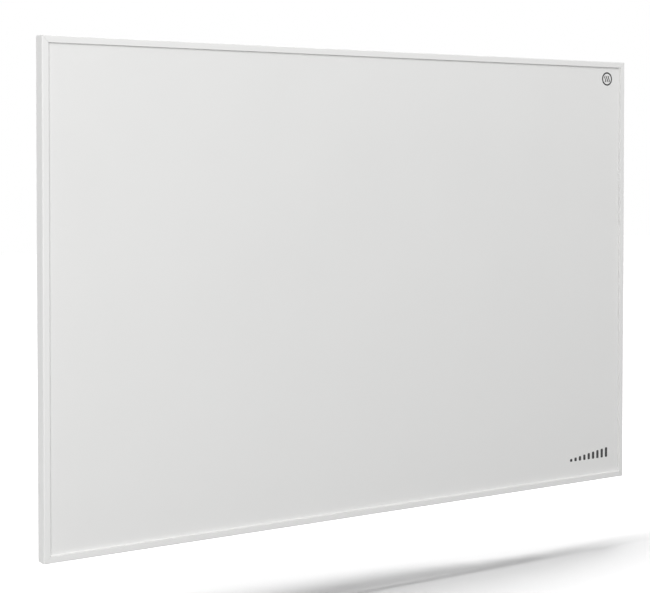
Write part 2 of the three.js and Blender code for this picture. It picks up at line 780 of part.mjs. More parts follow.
function buildHangers() {
  const hangers = new THREE.Group();
  const height = hangerTop - hangerBottom;
  const pressed = extruded(hangerSection(), height).translate(0, 0, hangerBottom);
  const slot = slab(keyhole(), HANGER_HEIGHT - 2 * HANGER_SHEET, 3 * HANGER_SHEET, KEYHOLE_SEGMENTS);
  const rivetHoles = [-1, 1].map((side) =>
    slab(
      hole(RIVET_RADIUS + SEAT_GAP, side * rivetSide, rivetRise),
      -CUT_PAST,
      HANGER_SHEET + 2 * CUT_PAST,
    ),
  );
  const bracket = cut(pressed, [slot, ...rivetHoles]);
  hangerPlaces.forEach(({ x, z }, i) => {
    hangers.add(named(`hanger_bracket_${i + 1}`, bracket, galvanised, x, COVER_FACE + LAYER_GAP, z));
  });
  const hangerRivet = rivet(HANGER_SHEET + LAYER_GAP + REAR_COVER);
  rivetPlaces.slice(0, 2 * hangerPlaces.length).forEach(({ x, z }, i) => {
    const y = COVER_FACE + LAYER_GAP + HANGER_SHEET;
    hangers.add(named(`hanger_rivet_${i + 1}`, hangerRivet, keyAlloy, x, y, z));
  });
  return hangers;
}

// ------------------------------------------------------------------ control box

const bossPlaces = [-1, 1].flatMap((sideX) =>
  [-1, 1].map((sideZ) => ({
    x: sideX * (BOX_WIDTH / 2 - LID_BOSS_INSET),
    z: sideZ * (BOX_HEIGHT / 2 - LID_BOSS_INSET),
  })),
);

function boxBase() {
  const outer = slab(rectangle(BOX_WIDTH, BOX_HEIGHT, BOX_CORNER_RADIUS), boxFront, BOX_SIDE);
  const hollow = slab(
    rectangle(BOX_WIDTH - 2 * BOX_WALL, BOX_HEIGHT - 2 * BOX_WALL, BOX_CORNER_RADIUS - BOX_WALL),
    floorFace,
    BOX_SIDE,
  );
  const bosses = bossPlaces.map(({ x, z }) =>
    slab(disc(LID_BOSS_RADIUS, x, z), boxFront + BOX_FLOOR / 2, BOX_SIDE - BOX_FLOOR / 2),
  );
  const screwHoles = bossPlaces.map(({ x, z }) => {
    const depth = LID_SCREW_LENGTH;
    return slab(hole(LID_SCREW_RADIUS + SEAT_GAP, x, z), boxRim - depth, depth + CUT_PAST);
  });
  const floorWindow = slab(
    rectangle(2 * windowHalfWidth, 2 * windowHalfHeight, CUTOUT_CORNER_RADIUS),
    boxFront - CUT_PAST,
    BOX_FLOOR + 2 * CUT_PAST,
  );
  const switchHole = new THREE.BoxGeometry(
    3 * BOX_WALL,
    SWITCH_WIDTH - 2 * SWITCH_FLANGE + 2 * SEAT_GAP,
    SWITCH_LENGTH - 2 * SWITCH_FLANGE + 2 * SEAT_GAP,
  ).translate(BOX_WIDTH / 2 - BOX_WALL / 2, fittingY, 0);
  const glandHole = extruded(hole(GLAND_THREAD_RADIUS + SEAT_GAP), 3 * BOX_WALL).translate(
    0,
    fittingY,
    -BOX_HEIGHT / 2 - BOX_WALL,
  );
  const rivetHoles = [-1, 1].map((side) =>
    slab(
      hole(
        RIVET_RADIUS + SEAT_GAP,
        side * (BOX_WIDTH / 2 - BOX_RIVET_INSET_X),
        -side * (BOX_HEIGHT / 2 - BOX_RIVET_INSET_Z),
      ),
      boxFront - CUT_PAST,
      BOX_FLOOR + 2 * CUT_PAST,
    ),
  );
  const shell = cut(outer, [hollow]);
  return cut(join([shell, ...bosses]), [
    ...screwHoles,
    floorWindow,
    switchHole,
    glandHole,
    ...rivetHoles,
  ]);
}

// The lid carries a raised middle outside and four short ribs that locate it between the walls.
function boxLid() {
  const plate = rectangle(BOX_WIDTH, BOX_HEIGHT, BOX_CORNER_RADIUS);
  for (const { x, z } of bossPlaces) plate.holes.push(hole(LID_SCREW_RADIUS + SEAT_GAP, x, z));
  const raised = rectangle(
    BOX_WIDTH - 2 * LID_PANEL_MARGIN,
    BOX_HEIGHT - 2 * LID_PANEL_MARGIN,
    BOX_CORNER_RADIUS,
  );
  const ribX = BOX_WIDTH / 2 - LID_RIB_INSET;
  const ribZ = BOX_HEIGHT / 2 - BOX_WALL - SEAT_GAP - LID_RIB_WIDTH / 2;
  const ribs = [-1, 1].flatMap((sideX) =>
    [-1, 1].map((sideZ) =>
      slab(
        rectangle(LID_RIB_LENGTH, LID_RIB_WIDTH, 0, sideX * ribX, sideZ * ribZ),
        lidFront - LID_RIB_DEPTH,
        LID_RIB_DEPTH + BOX_LID / 2,
      ),
    ),
  );
  return join([
    slab(plate, lidFront, BOX_LID),
    slab(raised, lidFront + BOX_LID / 2, BOX_LID / 2 + LID_PANEL_RISE),
    ...ribs,
  ]);
}

// The switch body snaps into the box's side. x runs outwards from the box wall, z along the switch.
function switchHousing() {
  const bodyLength = SWITCH_LENGTH - 2 * SWITCH_FLANGE;
  const bodyWidth = SWITCH_WIDTH - 2 * SWITCH_FLANGE;
  const bezel = extruded(rectangle(SWITCH_WIDTH, SWITCH_LENGTH, SWITCH_BEZEL_RADIUS), SWITCH_BEZEL);
  const body = extruded(
    rectangle(bodyWidth, bodyLength, SWITCH_BODY_RADIUS),
    SWITCH_BODY_DEPTH + SWITCH_BEZEL / 2,
  ).translate(0, 0, -SWITCH_BODY_DEPTH);
  const well = extruded(
    rectangle(bodyWidth - 2 * SWITCH_SHELL, bodyLength - 2 * SWITCH_SHELL),
    SWITCH_WELL_DEPTH + CUT_PAST,
  ).translate(0, 0, SWITCH_BEZEL - SWITCH_WELL_DEPTH);
  const pinHole = new THREE.CylinderGeometry(
    TRUNNION_RADIUS + SEAT_GAP,
    TRUNNION_RADIUS + SEAT_GAP,
    bodyWidth + 2 * CUT_PAST,
    ROUND_TOOL_SIDES,
  )
    .rotateZ(Math.PI / 2)
    .translate(0, 0, SWITCH_BEZEL - ROCKER_PIVOT_DEPTH);
  const blades = [-1, 1].map((side) =>
    new THREE.BoxGeometry(TERMINAL_BLADE_WIDTH, TERMINAL_BLADE, TERMINAL_BLADE_LENGTH + 1).translate(
      0,
      side * TERMINAL_BLADE_OFFSET,
      -SWITCH_BODY_DEPTH - TERMINAL_BLADE_LENGTH / 2 + 0.5,
    ),
  );
  // Extruded along z with its width along x and its length along y, then laid on the box's side.
  return cut(join([bezel, body, ...blades]), [well, pinHole]).rotateX(Math.PI / 2).rotateZ(Math.PI / 2);
}

// The rocker about its pivot: x outwards, z along the switch. Its ends are arcs about the pivot, so
// it keeps its clearance to the well as it turns, and its face dips in the middle.
function switchRocker() {
  const wellHalfLength = SWITCH_LENGTH / 2 - SWITCH_FLANGE - SWITCH_SHELL;
  const wellHalfWidth = SWITCH_WIDTH / 2 - SWITCH_FLANGE - SWITCH_SHELL;
  const reach = wellHalfLength - SEAT_GAP;
  const halfWidth = wellHalfWidth - ROCKER_SIDE_GAP;
  const tip = THREE.MathUtils.degToRad(ROCKER_TIP_ANGLE);
  const outline = new THREE.Shape();
  outline.moveTo(ROCKER_MIDDLE_HEIGHT, 0);
  outline.absarc(0, 0, reach, Math.PI / 2 - tip, Math.PI / 2);
  outline.lineTo(-ROCKER_HUB_RADIUS * 0.7, ROCKER_HUB_RADIUS * 0.7);
  outline.lineTo(-ROCKER_HUB_RADIUS, 0);
  outline.lineTo(-ROCKER_HUB_RADIUS * 0.7, -ROCKER_HUB_RADIUS * 0.7);
  outline.absarc(0, 0, reach, -Math.PI / 2, -Math.PI / 2 + tip);
  outline.closePath();
  const blade = slab(outline, -halfWidth, 2 * halfWidth);
  const trunnion = new THREE.CylinderGeometry(
    TRUNNION_RADIUS,
    TRUNNION_RADIUS,
    2 * (wellHalfWidth + TRUNNION_LENGTH),
    ROUND_TOOL_SIDES,
  );
  return join([blade, trunnion]);
}

// The gland points down out of the box. Heights are measured from the box wall's outer face.
function glandBody() {
  const inside = BOX_WALL + GLAND_INNER_LENGTH;
  const outside = -(SEAT_GAP + GLAND_FLANGE + GLAND_NECK);
  const tube = turned([
    [GLAND_BORE_RADIUS, outside],
    [GLAND_THREAD_RADIUS, outside],
    [GLAND_THREAD_RADIUS, inside],
    [GLAND_BORE_RADIUS, inside],
  ]).rotateX(Math.PI / 2);
  const hex = hexagon(GLAND_HEX);
  hex.holes.push(hole((GLAND_BORE_RADIUS + GLAND_THREAD_RADIUS) / 2));
  const flange = extruded(hex, GLAND_FLANGE).translate(0, 0, -SEAT_GAP - GLAND_FLANGE);
  return join([tube, flange]);
}

const nutTop = -(2 * SEAT_GAP + GLAND_FLANGE);
const nutHexEnd = nutTop - GLAND_NUT_HEX_LENGTH;
const nutMouth = nutHexEnd - GLAND_DOME_LENGTH;
const neckEnd = -(SEAT_GAP + GLAND_FLANGE + GLAND_NECK);
const nutBoreRadius = GLAND_THREAD_RADIUS + SEAT_GAP;

function glandNut() {
  const hex = extruded(hexagon(GLAND_HEX), GLAND_NUT_HEX_LENGTH).translate(0, 0, nutHexEnd);
  const dome = turned([
    [0, nutMouth],
    [GLAND_DOME_TIP_RADIUS, nutMouth],
    [GLAND_DOME_TIP_RADIUS + GLAND_DOME_CHAMFER, nutMouth + GLAND_DOME_CHAMFER],
    [GLAND_HEX / 2, nutHexEnd + CUT_PAST],
    [0, nutHexEnd + CUT_PAST],
  ]).rotateX(Math.PI / 2);
  const bore = turned([
    [0, nutMouth - CUT_PAST],
    [GLAND_BORE_RADIUS, nutMouth - CUT_PAST],
    [GLAND_BORE_RADIUS, nutMouth + GLAND_MOUTH],
    [nutBoreRadius, neckEnd - SEAT_GAP],
    [nutBoreRadius, nutTop + CUT_PAST],
    [0, nutTop + CUT_PAST],
  ]).rotateX(Math.PI / 2);
  return cut(join([hex, dome]), [bore]);
}

// The rubber sleeve that the dome nut squeezes on to a cord.
function glandSeal() {
  const top = neckEnd - SEAT_GAP;
  const tip = nutMouth + GLAND_SEAL_SETBACK;
  return turned([
    [GLAND_SEAL_BORE_RADIUS, tip],
    [GLAND_BORE_RADIUS - SEAT_GAP, tip],
    [nutBoreRadius - 2 * SEAT_GAP, top],
    [GLAND_SEAL_BORE_RADIUS, top],
  ]).rotateX(Math.PI / 2);
}

function glandLocknut() {
  const hex = hexagon(GLAND_HEX);
  hex.holes.push(hole(nutBoreRadius));
  return extruded(hex, GLAND_LOCKNUT).translate(0, 0, BOX_WALL + SEAT_GAP);
}

// Middle of the terminal block, on the floor beside the window.
const blockX = -(windowHalfWidth + BOX_WIDTH / 2 - BOX_WALL) / 2 - 1;
const blockEntryY = floorFace + SEAT_GAP + BLOCK_ENTRY_RISE;
const wayZ = Array.from({ length: BLOCK_WAYS }, (_, i) => (i - (BLOCK_WAYS - 1) / 2) * BLOCK_PITCH);

// A ceramic block: a wire entry runs through each way along X, under two clamping screws.
function terminalBlock() {
  const half = BLOCK_WIDTH / 2;
  const section = new THREE.Shape();
  section.moveTo(-half, 0);
  section.lineTo(half, 0);
  section.lineTo(half, BLOCK_HEIGHT - BLOCK_SHOULDER);
  section.lineTo(half - BLOCK_TOP_CHAMFER, BLOCK_HEIGHT);
  section.lineTo(BLOCK_TOP_CHAMFER - half, BLOCK_HEIGHT);
  section.lineTo(-half, BLOCK_HEIGHT - BLOCK_SHOULDER);
  section.closePath();
  const body = extruded(section, BLOCK_LENGTH).translate(0, floorFace + SEAT_GAP, -BLOCK_LENGTH / 2);
  const top = floorFace + SEAT_GAP + BLOCK_HEIGHT;
  const tools = wayZ.flatMap((z) => [
    new THREE.CylinderGeometry(
      BLOCK_ENTRY_RADIUS,
      BLOCK_ENTRY_RADIUS,
      BLOCK_WIDTH + 2 * CUT_PAST,
      ROUND_TOOL_SIDES,
    )
      .rotateZ(Math.PI / 2)
      .translate(0, blockEntryY, z),
    ...[-1, 1].map((side) =>
      new THREE.CylinderGeometry(
        BLOCK_SCREW_WELL_RADIUS,
        BLOCK_SCREW_WELL_RADIUS,
        2 * BLOCK_SCREW_WELL_DEPTH,
        ROUND_TOOL_SIDES,
      ).translate(side * BLOCK_SCREW_OFFSET, top, z),
    ),
  ]);
  return cut(body, tools);
}

// A snap-disc thermostat: its cap lies on the insulated plate and its tabs point to the wall.
const capFace = frontInsulator.rear + SEAT_GAP;
const thermostatTop = capFace + THERMOSTAT_HEIGHT;
const tabTop = thermostatTop + THERMOSTAT_TAB_LENGTH;

function thermostat() {
  const body = turned([
    [0, capFace],
    [THERMOSTAT_CAP_RADIUS, capFace],
    [THERMOSTAT_CAP_RADIUS, capFace + THERMOSTAT_CAP],
    [THERMOSTAT_BODY_RADIUS, capFace + THERMOSTAT_CAP + THERMOSTAT_SHOULDER],
    [THERMOSTAT_BODY_RADIUS, thermostatTop],
    [0, thermostatTop],
  ]);
  const tabs = [-1, 1].map((side) =>
    new THREE.BoxGeometry(
      TERMINAL_BLADE_WIDTH,
      THERMOSTAT_TAB_LENGTH + CUT_PAST,
      TERMINAL_BLADE,
    ).translate(
      0,
      thermostatTop + (THERMOSTAT_TAB_LENGTH - CUT_PAST) / 2,
      side * THERMOSTAT_TAB_OFFSET,
    ),
  );
  return join([body, ...tabs]);
}

// Leads run in the box's own frame: x and z from the box's middle, y from the wall plane.
const trackContact = trackSheet.rear + SEAT_GAP + LEAD_RADIUS;
const thermostatLocal = { x: thermostatPlace.x - boxX, z: thermostatPlace.z - boxZ };
const firstTabLocal = { x: firstTab.x - boxX, z: firstTab.z - boxZ };
const secondTabLocal = { x: secondTab.x - boxX, z: secondTab.z - boxZ };
const blockMouth = blockX + BLOCK_WIDTH / 2;
const bladeEnd = BOX_WIDTH / 2 + SEAT_GAP - SWITCH_BODY_DEPTH - TERMINAL_BLADE_LENGTH;
const bladeContact = bladeEnd - SEAT_GAP;
const studPlace = { x: cutoutLeft - EARTH_LAND / 2, z: windowHalfHeight / 2 };
const studBase = COVER_FACE + LAYER_GAP;
const ringFace = studBase + EARTH_STUD_FLANGE + SEAT_GAP;

// The thermal fuse bridges the thermostat's upper tab and the track's first tab.
function thermalFuse() {
  const y = trackContact + FUSE_RADIUS + 3;
  const z = firstTabLocal.z + 5;
  const start = firstTabLocal.x - 2;
  const end = start + FUSE_LENGTH;
  const body = turned(
    [
      [0, 0],
      [FUSE_RADIUS, 0],
      [FUSE_RADIUS, FUSE_LENGTH * 0.8],
      [FUSE_RADIUS * 0.5, FUSE_LENGTH],
      [0, FUSE_LENGTH],
    ],
    SMALL_ROUND_SIDES,
  )
    .rotateZ(-Math.PI / 2)
    .translate(start, y, z);
  const tabZ = thermostatLocal.z + THERMOSTAT_TAB_OFFSET;
  const firstLeg = wire(
    [
      [thermostatLocal.x, tabTop + SEAT_GAP + FUSE_LEG_RADIUS, tabZ],
      [thermostatLocal.x + 5, tabTop - 1, tabZ + 3],
      [start - 5, y + 3, z],
      [start - 2, y, z],
      [start + 1, y, z],
    ],
    FUSE_LEG_RADIUS,
    FUSE_LEG_SIDES,
    FUSE_LEG_STEPS,
  );
  const secondLeg = wire(
    [
      [end - 1, y, z],
      [end + 2, y, z],
      [end + 4.5, y - 2.5, z - 2],
      [end + 5, trackContact - 0.3, z - 4],
    ],
    FUSE_LEG_RADIUS,
    FUSE_LEG_SIDES,
    FUSE_LEG_STEPS,
  );
  return join([body, firstLeg, secondLeg]);
}

function liveLead() {
  return wire(
    [
      [blockX + 2, blockEntryY, wayZ[0]],
      [blockMouth + 2, blockEntryY, wayZ[0]],
      [blockMouth + 12, blockEntryY + 1, wayZ[0] - 5],
      [0, fittingY - 3, wayZ[0] - 8],
      [bladeContact - 14, fittingY, wayZ[0] - 3],
      [bladeContact - 4, fittingY, -TERMINAL_BLADE_OFFSET - 0.4],
      [bladeContact, fittingY, -TERMINAL_BLADE_OFFSET],
    ],
    LEAD_RADIUS,
  );
}

function switchedLead() {
  const tabZ = thermostatLocal.z - THERMOSTAT_TAB_OFFSET;
  return wire(
    [
      [bladeContact, fittingY, TERMINAL_BLADE_OFFSET],
      [bladeContact - 4, fittingY, TERMINAL_BLADE_OFFSET],
      [bladeContact - 14, fittingY - 1, TERMINAL_BLADE_OFFSET - 1],
      [thermostatLocal.x + 7, tabTop + 4.5, tabZ - 0.5],
      [thermostatLocal.x + 1, tabTop + 3.5, tabZ],
      [thermostatLocal.x, tabTop + 2 * SEAT_GAP, tabZ],
    ],
    LEAD_RADIUS,
  );
}

function neutralLead() {
  return wire(
    [
      [blockX + 2, blockEntryY, wayZ[1]],
      [blockMouth + 2, blockEntryY, wayZ[1]],
      [blockMouth + 13, blockEntryY - 1, wayZ[1] - 3],
      [secondTabLocal.x - 5, (blockEntryY + trackContact) / 2 + 4, secondTabLocal.z - 5],
      [secondTabLocal.x, (blockEntryY + trackContact) / 2 - 2, secondTabLocal.z - 8],
      [secondTabLocal.x, trackSheet.rear + SEAT_GAP, secondTabLocal.z - 8],
    ],
    LEAD_RADIUS,
  );
}

// The earth lead ends in a ring tongue on the stud.
function earthLead() {
  const middle = ringFace + EARTH_RING / 2;
  const ring = disc(EARTH_RING_RADIUS, studPlace.x, studPlace.z);
  ring.holes.push(hole(EARTH_STUD_RADIUS + SEAT_GAP, studPlace.x, studPlace.z));
  const tail = wire(
    [
      [blockX + 2, blockEntryY, wayZ[2]],
      [blockMouth + 1.5, blockEntryY, wayZ[2]],
      [blockMouth + 5, blockEntryY + 1, wayZ[2] - 2],
      [studPlace.x + 4, blockEntryY - 2, studPlace.z - 9],
      [studPlace.x + 2, middle + 1.5, studPlace.z - 9.5],
      [studPlace.x, middle, studPlace.z - EARTH_RING_RADIUS],
    ],
    LEAD_RADIUS,
  );
  return join([slab(ring, ringFace, EARTH_RING), tail]);
}

function earthStud() {
  return turned(
    [
      [0, 0],
      [EARTH_STUD_FLANGE_RADIUS, 0],
      [EARTH_STUD_FLANGE_RADIUS, EARTH_STUD_FLANGE],
      [EARTH_STUD_RADIUS, EARTH_STUD_FLANGE],
      [EARTH_STUD_RADIUS, EARTH_STUD_LENGTH - EARTH_STUD_CHAMFER],
      [EARTH_STUD_RADIUS - EARTH_STUD_CHAMFER, EARTH_STUD_LENGTH],
      [0, EARTH_STUD_LENGTH],
    ],
    SCREW_SEGMENTS,
  );
}

function earthNut() {
  const hex = hexagon(EARTH_NUT_HEX);
  hex.holes.push(hole(EARTH_STUD_RADIUS + SEAT_GAP));
  return slab(hex, ringFace + EARTH_RING + SEAT_GAP, EARTH_NUT);
}

function buildControlBox() {
  const box = new THREE.Group();
  box.position.set(boxX, 0, boxZ);
  const wallX = BOX_WIDTH / 2 + SEAT_GAP;
  const wallZ = -BOX_HEIGHT / 2;

  box.add(
    named("control_box_base", boxBase(), whitePlastic),
    named("control_box_lid", boxLid(), whitePlastic),
    named("switch_housing", switchHousing(), blackPlastic, wallX, fittingY, 0),
    named("gland_body", glandBody(), greyNylon, 0, fittingY, wallZ),
    named("gland_nut", glandNut(), greyNylon, 0, fittingY, wallZ),
    named("gland_seal", glandSeal(), sealRubber, 0, fittingY, wallZ),
    named("gland_locknut", glandLocknut(), greyNylon, 0, fittingY, wallZ),
    named("terminal_block", terminalBlock(), ceramic, blockX, 0, 0),
    named("thermostat", thermostat(), phenolic, thermostatLocal.x, 0, thermostatLocal.z),
    named("thermal_fuse", thermalFuse(), zincPlated),
    named("lead_live", liveLead(), redSilicone),
    named("lead_switched", switchedLead(), redSilicone),
    named("lead_neutral", neutralLead(), blueSilicone),
    named("lead_earth", earthLead(), greenSilicone),
    named("earth_stud", earthStud(), zincPlated, studPlace.x, studBase, studPlace.z),
    named("earth_nut", earthNut(), zincPlated, studPlace.x, 0, studPlace.z),
  );

  const rocker = named(
    "switch_rocker",
    switchRocker(),
    blackPlastic,
    wallX + SWITCH_BEZEL - ROCKER_PIVOT_DEPTH,
    fittingY,
    0,
  );
  rocker.rotation.y = THREE.MathUtils.degToRad(ROCKER_TILT);
  box.add(rocker);

  const lidFace = lidFront + BOX_LID;
  const lidScrew = panHeadScrew(
    LID_SCREW_HEAD_RADIUS,
    LID_SCREW_HEAD,
    LID_SCREW_RADIUS,
    LID_SCREW_LENGTH,
  );
  bossPlaces.forEach(({ x, z }, i) => {
    box.add(named(`lid_screw_${i + 1}`, lidScrew, zincPlated, x, lidFace + LAYER_GAP, z));
  });

  const boxRivet = rivet(BOX_FLOOR + LAYER_GAP + REAR_COVER);
  rivetPlaces.slice(2 * hangerPlaces.length).forEach(({ x, z }, i) => {
    box.add(named(`box_rivet_${i + 1}`, boxRivet, keyAlloy, x - boxX, floorFace, z - boxZ));
  });
  return box;
}

// ------------------------------------------------------------------ wall fixings

// Each spacer stands on the wall and its screw head holds the hanger against it.
function buildWallFixings() {
  const fixings = new THREE.Group();
  const bore = WALL_SCREW_RADIUS + SPACER_BORE_CLEARANCE;
  const spacer = turned(
    [
      [bore, -spacerLength],
      [SPACER_RADIUS - SPACER_EDGE, -spacerLength],
      [SPACER_RADIUS, -spacerLength + SPACER_EDGE],
      [SPACER_RADIUS, -2 * SPACER_FOOT],
      [SPACER_FOOT_RADIUS, -SPACER_FOOT],
      [SPACER_FOOT_RADIUS, 0],
      [bore, 0],
    ],
    SPACER_SEGMENTS,
  );
  // The screw's head faces the room, and its shank ends at the wall plane.
  const screw = panHeadScrew(
    WALL_SCREW_HEAD_RADIUS,
    WALL_SCREW_HEAD,
    WALL_SCREW_RADIUS,
    -screwHeadFace,
  ).rotateX(Math.PI);
  hangerPlaces.forEach(({ x, z }, i) => {
    fixings.add(named(`wall_spacer_${i + 1}`, spacer, whitePlastic, x, 0, z));
    fixings.add(named(`wall_screw_${i + 1}`, screw, zincPlated, x, screwHeadFace, z));
  });
  return fixings;
}

// ------------------------------------------------------------------ assembly

const heater = new THREE.Group();
heater.add(buildSandwich(), buildFrame(), buildHangers(), buildControlBox());

const panelHeater = new THREE.Group();
panelHeater.add(buildWallFixings(), heater);

export default panelHeater;
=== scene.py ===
"""Infrared panel heater: finer pieces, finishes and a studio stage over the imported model.

Every length is in metres. The wall plane is y = 0, the room lies towards -y and z points up.
"""

import math

import bmesh
import bpy
from mathutils import Matrix, Vector


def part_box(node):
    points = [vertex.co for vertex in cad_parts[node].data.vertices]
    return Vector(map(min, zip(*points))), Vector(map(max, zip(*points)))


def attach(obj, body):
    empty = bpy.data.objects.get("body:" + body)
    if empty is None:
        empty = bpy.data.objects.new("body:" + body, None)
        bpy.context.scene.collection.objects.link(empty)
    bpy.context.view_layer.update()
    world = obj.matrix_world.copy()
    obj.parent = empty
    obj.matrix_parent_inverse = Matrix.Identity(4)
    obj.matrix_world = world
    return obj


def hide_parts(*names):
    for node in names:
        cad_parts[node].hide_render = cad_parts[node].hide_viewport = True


bl_info = {
    "name": "Infrared Panel Heater",
    "version": (1, 0, 0),
    "blender": (4, 5, 0),
    "location": "View3D > Sidebar > Panel Heater",
    "description": "Models the visible pieces of an infrared panel heater and gives them their finishes",
    "category": "Object",
}

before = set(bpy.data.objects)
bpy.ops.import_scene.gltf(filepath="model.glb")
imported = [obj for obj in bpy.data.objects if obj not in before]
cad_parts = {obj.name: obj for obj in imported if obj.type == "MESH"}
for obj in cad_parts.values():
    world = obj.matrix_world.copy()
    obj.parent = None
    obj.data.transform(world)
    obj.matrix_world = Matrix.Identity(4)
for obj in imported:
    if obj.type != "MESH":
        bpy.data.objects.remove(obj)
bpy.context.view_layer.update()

MM = 0.001
HEATER = "heater"
ROCKER = "rocker"
WALL_FIXINGS = "wall_fixings"


# ---------------------------------------------------------------- colour


def linear(hex_colour):
    """An sRGB hex value as the linear colour that shaders work in."""
    digits = hex_colour.lstrip("#")
    values = []
    for start in (0, 2, 4):
        level = int(digits[start : start + 2], 16) / 255
        if level <= 0.04045:
            values.append(level / 12.92)
        else:
            values.append(((level + 0.055) / 1.055) ** 2.4)
    return tuple(values)


def colour_setting(name, description, hex_colour):
    return bpy.props.FloatVectorProperty(
        name=name,
        description=description,
        subtype="COLOR",
        size=3,
        min=0.0,
        max=1.0,
        default=linear(hex_colour),
    )


def length_setting(name, description, millimetres):
    return bpy.props.FloatProperty(
        name=name,
        description=description,
        unit="LENGTH",
        min=0.0,
        precision=5,
        default=millimetres * MM,
    )


class PanelHeaterSizes(bpy.types.PropertyGroup):
    front_bar_width: length_setting("Front bar width", "Width of the frame seen from the room", 8)
    front_bar_depth: length_setting("Front bar depth", "From the frame's front to the back of its bar", 6)
    bar_wall: length_setting("Bar wall", "Wall of the hollow front bar", 1)
    ledge: length_setting("Ledge", "Thickness of the ledge that carries the plate", 1.2)
    frame_wall: length_setting("Frame wall", "Wall of the extrusion at the frame's side", 1.2)
    rear_lip_width: length_setting("Rear lip width", "Width of the lip behind the rear cover", 12)
    rear_lip: length_setting("Rear lip", "Thickness of the lip behind the rear cover", 1.3)
    front_edge_radius: length_setting("Front edge radius", "Rounding of the frame's front edge", 2.4)
    rear_edge_radius: length_setting("Rear edge radius", "Rounding of the frame's rear edge", 0.8)
    bar_edge: length_setting("Inner bar edge", "Rounding of the bar's inner front edge", 0.15)
    mitre_gap: length_setting("Mitre gap", "Each member stops this far short of its mitre plane", 0.12)
    plate_edge: length_setting("Plate edge", "Rounding of the plate's front edge", 0.12)
    plate_gap: length_setting("Plate gap", "From the plate's edge to the front bar", 0.06)
    print_height: length_setting("Print height", "Thickness of the printed marks on the plate", 0.08)
    hanger_sheet: length_setting("Hanger sheet", "Thickness of the pressed hangers", 1.5)
    hanger_crown: length_setting("Hanger crown", "Width of the hanger's raised middle", 40)
    hanger_bend: length_setting("Hanger bend", "Outer radius of the hanger's bends", 2)
    hanger_above_screw: length_setting("Hanger above screw", "From the screw to the hanger's top", 16)
    keyhole_slot: length_setting("Keyhole slot", "Half width of the slot that hangs on a screw", 2.8)
    keyhole_entry: length_setting("Keyhole entry", "Radius of the hole that passes a screw's head", 6)
    keyhole_drop: length_setting("Keyhole drop", "From the slot's top to the middle of the hole", 12)
    box_wall: length_setting("Box wall", "Wall and floor of the control box", 2)
    box_corner: length_setting("Box corner", "Corner radius of the control box", 6)
    lid_panel_margin: length_setting("Lid panel margin", "From the lid's edge to its raised middle", 12)
    lid_panel_rise: length_setting("Lid panel rise", "Height of the lid's raised middle", 0.8)
    gland_hex: length_setting("Gland hexagon", "Cable gland across its flats", 19)


class PanelHeaterColours(bpy.types.PropertyGroup):
    plate_paint: colour_setting("Plate paint", "Powder coat of the heated plate", "#EBEBEA")
    frame_paint: colour_setting("Frame paint", "Powder coat of the frame", "#EDEDEC")
    printing_ink: colour_setting("Printing ink", "Ink of the marks on the plate", "#1A1A1C")
    zinc: colour_setting("Zinc", "Galvanised rear cover and hangers", "#9DA2A6")
    bright_zinc: colour_setting("Bright zinc", "Plated screws", "#C9CCCE")
    aluminium: colour_setting("Aluminium", "Rivets and corner keys", "#BEC0C2")
    box_plastic: colour_setting("Box plastic", "Control box and wall spacers", "#EBEBE9")
    switch_plastic: colour_setting("Switch plastic", "Switch housing and rocker", "#1A1A1C")
    gland_nylon: colour_setting("Gland nylon", "Cable gland", "#8C8F91")
    seal_rubber: colour_setting("Seal rubber", "Seal inside the gland", "#262626")
    ceramic: colour_setting("Ceramic", "Terminal block", "#E8E4DA")
    mineral_fibre: colour_setting("Mineral fibre", "Insulation board", "#C9B98C")


def sizes():
    return bpy.context.scene.panel_heater_sizes


def colours():
    return bpy.context.scene.panel_heater_colours


# ---------------------------------------------------------------- modelling by hand


def end_editing():
    if bpy.context.mode != "OBJECT":
        bpy.ops.object.mode_set(mode="OBJECT")


def deselect():
    end_editing()
    bpy.ops.object.select_all(action="DESELECT")


def make_active(piece):
    deselect()
    piece.select_set(True)
    bpy.context.view_layer.objects.active = piece


def edit(piece):
    make_active(piece)
    bpy.ops.object.mode_set(mode="EDIT")


def just_added(name):
    """Names the primitive that was just added and opens it for editing."""
    piece = bpy.context.object
    piece.name = name
    piece.data.name = name
    bpy.ops.object.transform_apply(location=True, rotation=True, scale=True)
    edit(piece)
    return piece


def add_block(name, low, high):
    """A block between two corners, open for editing."""
    low, high = Vector(low), Vector(high)
    deselect()
    bpy.ops.mesh.primitive_cube_add(size=1, location=(low + high) / 2, scale=high - low)
    return just_added(name)


def pick(piece, kind, test):
    """Selects the faces, edges or vertices that pass the test, and nothing else."""
    bpy.ops.mesh.select_mode(type=kind)
    bpy.ops.mesh.select_all(action="DESELECT")
    mesh = bmesh.from_edit_mesh(piece.data)
    items = {"FACE": mesh.faces, "EDGE": mesh.edges, "VERT": mesh.verts}[kind]
    found = [item for item in items if test(item)]
    if not found:
        raise RuntimeError(f"{piece.name}: nothing to select as {kind.lower()}")
    for item in found:
        item.select_set(True)
    bmesh.update_edit_mesh(piece.data)


def centre_of(face):
    return face.calc_center_median()


def near(a, b, gap=1e-5):
    return abs(a - b) < gap


def runs_along(edge, axis):
    """True for an edge that is parallel to an axis, given as 0, 1 or 2."""
    along = edge.verts[1].co - edge.verts[0].co
    return abs(along[axis]) > 0.999 * along.length


def extrude(x=0.0, y=0.0, z=0.0):
    bpy.ops.mesh.extrude_region_move(TRANSFORM_OT_translate={"value": (x, y, z)})


def bisect_all(point, normal, cut_off=False):
    """Cuts the whole piece with a plane. With cut_off the side that the normal points to goes."""
    bpy.ops.mesh.select_mode(type="FACE")
    bpy.ops.mesh.select_all(action="SELECT")
    bpy.ops.mesh.bisect(
        plane_co=point,
        plane_no=Vector(normal).normalized(),
        use_fill=cut_off,
        clear_outer=cut_off,
    )


